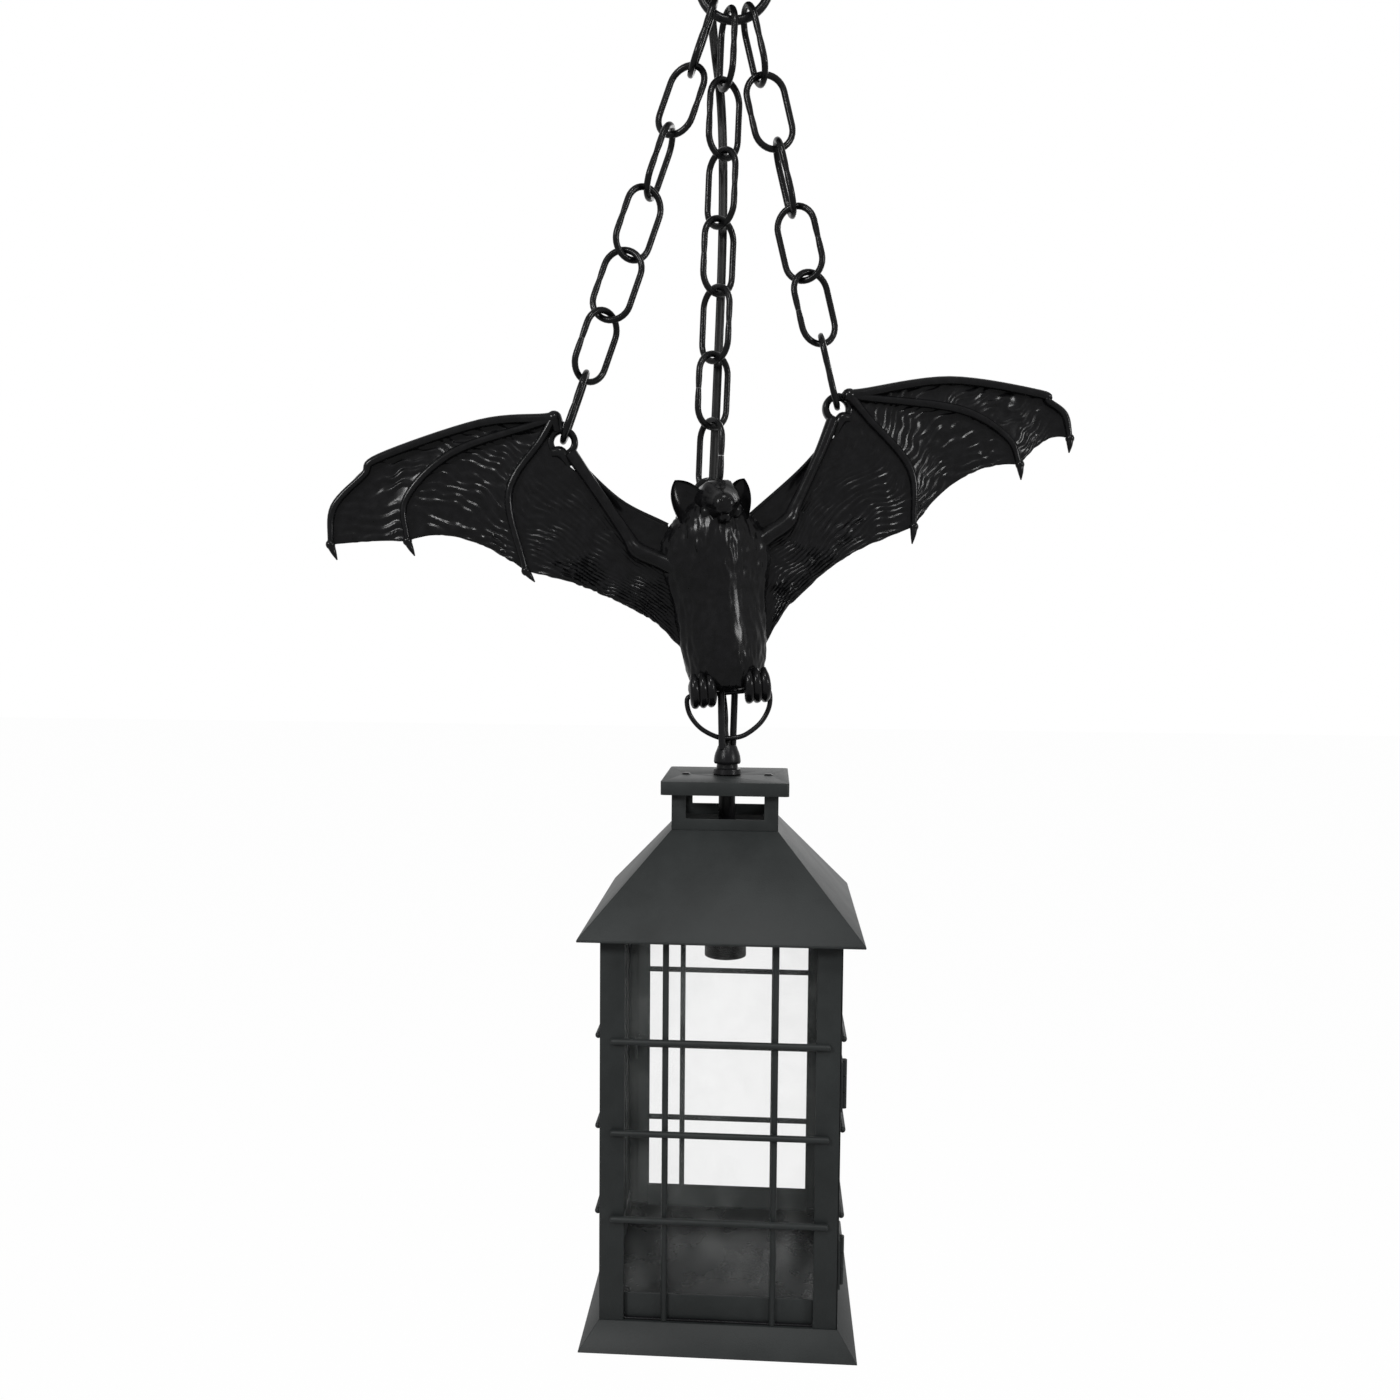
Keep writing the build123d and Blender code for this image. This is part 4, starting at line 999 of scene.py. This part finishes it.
class LANTERN_OT_rings(bpy.types.Operator):
    """Bends the ring in the feet and turns the screw collar loop"""

    bl_idname = "lantern.rings"
    bl_label = "Foot ring and loop"

    def execute(self, context):
        mesh = bmesh.new()
        points = [bat_point(p.x, p.y) for p in walk(flow(FOOT_RING, 8), 110)]
        tube(mesh, points, [FOOT_RING_WIRE] * len(points), bat_axis(0, 0, 1), 14)
        make("foot_ring_wire", mesh, "black_hardware", "ring", ("foot_ring",))
        mesh = bmesh.new()
        turned(mesh, BELL, (0, 0, 0), (0, 0, 1), 56, True)
        self.screw_loop(mesh)
        make("screw_loop", mesh, "black_hardware", "lantern", ("lantern_loop",))
        dress("black_hardware", "loop_nut", "cap_rivets", "threaded_pipe", "pipe_nut")
        return {"FINISHED"}

    def screw_loop(self, mesh):
        """A bow of wire under the foot pin, with legs that close in on the bell."""
        turn = math.radians(LOOP_TURN)
        way = Vector((-math.sin(turn), -math.cos(turn), 0))
        bend = FEET_Z + PIN_R + LOOP_PLAY + LOOP_WIRE - LOOP_BEND
        leg = bend - BELL_TOP + LOOP_SINK
        tilt = math.asin(LOOP_BEND / math.hypot(LOOP_FOOT, leg)) - math.atan2(LOOP_FOOT, leg)
        turns = [-tilt + (math.pi + 2 * tilt) * number / 24 for number in range(25)]
        bow = [(LOOP_BEND * math.cos(t), LOOP_BEND * math.sin(t)) for t in turns]
        foot = 1.0 - leg
        outline = [(LOOP_FOOT, foot)] + bow + [(-LOOP_FOOT, foot)]
        points = [Vector((0, 0, bend + up)) + way * across for across, up in outline]
        tube(mesh, points, [LOOP_WIRE] * len(points), way.cross(Vector((0, 0, 1))), 18)


def side_point(angle, along, inward, z):
    """A place on the side of the body that faces an angle."""
    turn = math.radians(angle)
    across, deep = math.cos(turn), math.sin(turn)
    return Vector((along * across - inward * deep, along * deep + inward * across, z))


def bar(mesh, start, end, ease):
    """A round rod with softly rounded ends."""
    reach = (end - start).length
    shape = [(0.0, BAR_R - ease)]
    for step in range(1, 5):
        turn = math.pi / 2 * step / 4
        shape.append((ease * (1 - math.cos(turn)), BAR_R - ease + ease * math.sin(turn)))
    profile = [(wide, h) for h, wide in shape]
    profile += [(wide, reach - h) for h, wide in reversed(shape)]
    turned(mesh, profile, start, end - start, 20)


def strip(mesh, angle, along, inward, heights, ease):
    """A length of sheet metal with softly rounded edges."""
    part = bmesh.new()
    bmesh.ops.create_cube(part, size=1.0)
    spans = (along, inward, heights)
    for vertex in part.verts:
        place = [low + (share + 0.5) * (high - low) for share, (low, high) in zip(vertex.co, spans)]
        vertex.co = side_point(angle, *place)
    round_edges(part, part.edges[:], ease)
    made = bpy.data.meshes.new("strip")
    part.to_mesh(made)
    part.free()
    mesh.from_mesh(made)
    bpy.data.meshes.remove(made)


def side_mesh(angle, turned_edge, reach, ease):
    """One side: two posts, a narrow head under the eave, a low rail set back behind the bars."""
    mesh = bmesh.new()
    sheet, rail = (-HALF, -SHEET_INSIDE), (-RAIL_HALF, RAIL_HALF)
    heights = (BASE_Z, BODY_TOP)
    for side in (1, -1):
        strip(mesh, angle, sorted((side * POST_EDGE, side * reach)), sheet, heights, ease)
    strip(mesh, angle, rail, sheet, (BODY_TOP - HEAD_RAIL, BODY_TOP), ease)
    strip(mesh, angle, rail, RAIL_FACES, (BASE_Z, WINDOW_LOW), ease)
    if turned_edge:
        flange = sorted((turned_edge * SHEET_INSIDE, turned_edge * reach))
        strip(mesh, angle, flange, (-HALF, -FLANGE_INSIDE), heights, ease)
    return mesh


def bar_mesh(angle, length, low, high):
    """Two upright bars, with three level ones in front of them."""
    mesh = bmesh.new()
    for side in (1, -1):
        foot = side_point(angle, side * UPRIGHT_AT, -UPRIGHT_DEPTH, low)
        bar(mesh, foot, foot + Vector((0, 0, high - low)), 0.3)
    for drop in BAR_DROPS:
        left, right = (
            side_point(angle, side * length / 2, -HALF - BAR_STAND, EAVE_Z - drop)
            for side in (-1, 1)
        )
        bar(mesh, left, right, 1.5)
    return mesh


class LANTERN_OT_body(bpy.types.Operator):
    """Eases the sheet metal's edges, rounds the bars and finishes glass, door, latch and socket"""

    bl_idname = "lantern.body"
    bl_label = "Lantern"

    def execute(self, context):
        edge = context.scene.lantern.edge
        for node in ("top_cap", "vent_collar", "roof", "soffit_plate", "base_skirt"):
            eased(node, "painted_steel", "lantern", edge)
        # The floor plate takes the darker black hardware finish instead of the painted steel:
        # painted shade for the dim inside of the lantern.
        eased("floor_plate", "black_hardware", "lantern", edge)
        eased("door_frame", "painted_steel", "door", edge)
        for name, (angle, turned_edge, reach) in SIDES.items():
            sheet = side_mesh(angle, turned_edge, reach, edge)
            make("sheet_" + name, sheet, "painted_steel", "lantern", (name + "_panel",))
            rods = bar_mesh(angle, BAR_LENGTH, BASE_Z + 0.3, BODY_TOP - 0.6)
            make("rods_" + name, rods, "painted_steel", "lantern", (name + "_bars",))
        rods = bar_mesh(90, DOOR_BAR_LENGTH, WINDOW_LOW, WINDOW_TOP)
        make("rods_door", rods, "painted_steel", "door", ("door_bars",))
        for name in (*SIDES, "door"):
            dress("pane_glass", name + "_glass")
            dress("painted_steel", name + "_clips")
        dress("painted_steel", "hinge_body_leaves", "hinge_door_leaves", "latch_button")
        dress("black_hardware", "hinge_pins", "latch_pivot", "door_knob")
        dress("socket_plastic", "socket_cap", "socket_body")
        dress("contact_brass", "screw_shell", "centre_contact")
        return {"FINISHED"}


def cord_line(name, route):
    """Points read from a smooth spline whose control points are the route's."""
    curve = bpy.data.curves.new(name + "_route", "CURVE")
    curve.dimensions = "3D"
    curve.resolution_u = 16
    spline = curve.splines.new("NURBS")
    spline.points.add(len(route) - 1)
    for point, place in zip(spline.points, route):
        point.co = (*[part * MM for part in place], 1.0)
    spline.order_u = 3
    spline.use_endpoint_u = True
    holder = bpy.data.objects.new(name + "_route", curve)
    bpy.context.scene.collection.objects.link(holder)
    line = bpy.data.meshes.new_from_object(holder)
    points = [vertex.co.copy() for vertex in line.vertices]
    bpy.data.objects.remove(holder)
    bpy.data.curves.remove(curve)
    bpy.data.meshes.remove(line)
    return points


def twin_section():
    """Two round cores side by side with a groove between them."""
    outline = []
    for side in (1, -1):
        for number in range(11):
            turn = math.radians(-125 + 25 * number)
            across, up = CORE_AT + CORE_R * math.cos(turn), CORE_R * math.sin(turn)
            outline.append((side * across, side * up))
    return outline


def lay(length_name, bodies, start, end, route):
    """One length of the lamp cord along its route."""
    name = "flex_" + length_name
    points = cord_line(name, route)
    mesh = bmesh.new()
    section = twin_section()
    sweep(mesh, [point / MM for point in points], lambda number: section, (1, 0, 0))
    body = None if len(bodies) > 1 else bodies[0]
    piece = make(name, mesh, "cord_jacket", body, ("cord_" + length_name,), 40.0)
    if len(bodies) > 1:
        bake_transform(piece)


class LANTERN_OT_cord(bpy.types.Operator):
    """Lays the flat twin lamp cord from the canopy to the socket"""

    bl_idname = "lantern.cord"
    bl_label = "Lamp cord"

    def execute(self, context):
        for name, plan in CORDS.items():
            lay(name, *plan)
        return {"FINISHED"}


class LANTERN_OT_stage(bpy.types.Operator):
    """Sets the floor, the white surroundings, the lights and the camera"""

    bl_idname = "lantern.stage"
    bl_label = "Stage"

    def execute(self, context):
        scene = context.scene
        scene.view_settings.view_transform = "Standard"
        self.floor(scene)
        self.surroundings(scene)
        for name, (place, size, power, aim) in LAMPS.items():
            lamp = bpy.data.lights.new(name, "AREA")
            lamp.shape = "DISK"
            lamp.size = size
            lamp.energy = power
            holder = bpy.data.objects.new(name, lamp)
            holder.location = place
            way = Vector(aim) - Vector(place)
            holder.rotation_euler = way.to_track_quat("-Z", "Y").to_euler()
            scene.collection.objects.link(holder)
        self.camera(scene)
        return {"FINISHED"}

    def floor(self, scene):
        mesh = bmesh.new()
        bmesh.ops.create_grid(mesh, x_segments=1, y_segments=1, size=FLOOR_HALF)
        data = bpy.data.meshes.new("floor")
        mesh.to_mesh(data)
        mesh.free()
        floor = bpy.data.objects.new("floor", data)
        floor.location = (0, 0, FLOOR_Z)
        scene.collection.objects.link(floor)
        data.materials.append(self.pale_floor())

    def pale_floor(self):
        """Matte and pale under the light, and white where it is looked at, with a faint shadow."""
        paint = Paint("pale_floor")
        tone = paint.mix(paint.noise(40.0, 3.0), (0.80, 0.80, 0.80, 1.0), (0.86, 0.86, 0.86, 1.0))
        matte = paint.node("ShaderNodeBsdfDiffuse", {}, {"Color": tone})
        glow = paint.node("ShaderNodeEmission", {}, {"Color": WHITE, "Strength": 1.0})
        sockets = {0: FLOOR_WHITE * paint.seen(), 1: matte, 2: glow}
        return paint.surface(paint.node("ShaderNodeMixShader", {}, sockets))

    def surroundings(self, scene):
        """A dim world for the light, and a white one for the eye, for gloss and for glass."""
        scene.world = bpy.data.worlds.new("studio")
        nodes = Nodes(scene.world)
        strength = WORLD_LIGHT + (1 - WORLD_LIGHT) * nodes.seen()
        back = nodes.node("ShaderNodeBackground", {}, {"Color": WHITE, "Strength": strength})
        nodes.node("ShaderNodeOutputWorld", {}, {"Surface": back})

    def camera(self, scene):
        pitch, roll = math.radians(CAMERA_PITCH), math.radians(CAMERA_ROLL)
        level = Vector(CAMERA_HEADING).normalized()
        look = level * math.cos(pitch) - Vector((0, 0, math.sin(pitch)))
        right = look.cross(Vector((0, 0, 1))).normalized()
        up = right.cross(look)
        across = right * math.cos(roll) + up * math.sin(roll)
        rise = up * math.cos(roll) - right * math.sin(roll)
        place = Matrix((across, rise, -look)).transposed().to_4x4()
        place.translation = Vector(CAMERA_PLACE) * MM
        data = bpy.data.cameras.new("camera")
        data.sensor_width = 36.0
        data.lens = scene.lantern.camera_lens
        data.clip_start = 0.01
        camera = bpy.data.objects.new("camera", data)
        camera.matrix_world = place
        scene.collection.objects.link(camera)
        scene.camera = camera


class LANTERN_PT_panel(bpy.types.Panel):
    """Buttons that build the lantern's looks"""

    bl_idname = "LANTERN_PT_panel"
    bl_label = "Bat lantern"
    bl_space_type = "VIEW_3D"
    bl_region_type = "UI"
    bl_category = "Lantern"

    def draw(self, context):
        settings = context.scene.lantern
        for name in LanternSettings.__annotations__:
            self.layout.prop(settings, name)
        for operator in STEPS:
            self.layout.operator(operator.bl_idname)


STEPS = (
    LANTERN_OT_stage,
    LANTERN_OT_cord,
    LANTERN_OT_canopy,
    LANTERN_OT_chains,
    LANTERN_OT_bat,
    LANTERN_OT_rings,
    LANTERN_OT_body,
)
CLASSES = (LanternSettings, *STEPS, LANTERN_PT_panel)


def register():
    for item in CLASSES:
        bpy.utils.register_class(item)
    bpy.types.Scene.lantern = bpy.props.PointerProperty(type=LanternSettings)


def unregister():
    del bpy.types.Scene.lantern
    for item in reversed(CLASSES):
        bpy.utils.unregister_class(item)


def main():
    register()
    bpy.ops.lantern.stage()
    bpy.ops.lantern.cord()
    bpy.ops.lantern.canopy()
    bpy.ops.lantern.chains()
    bpy.ops.lantern.bat()
    bpy.ops.lantern.rings()
    bpy.ops.lantern.body()


if __name__ == "__main__":
    main()
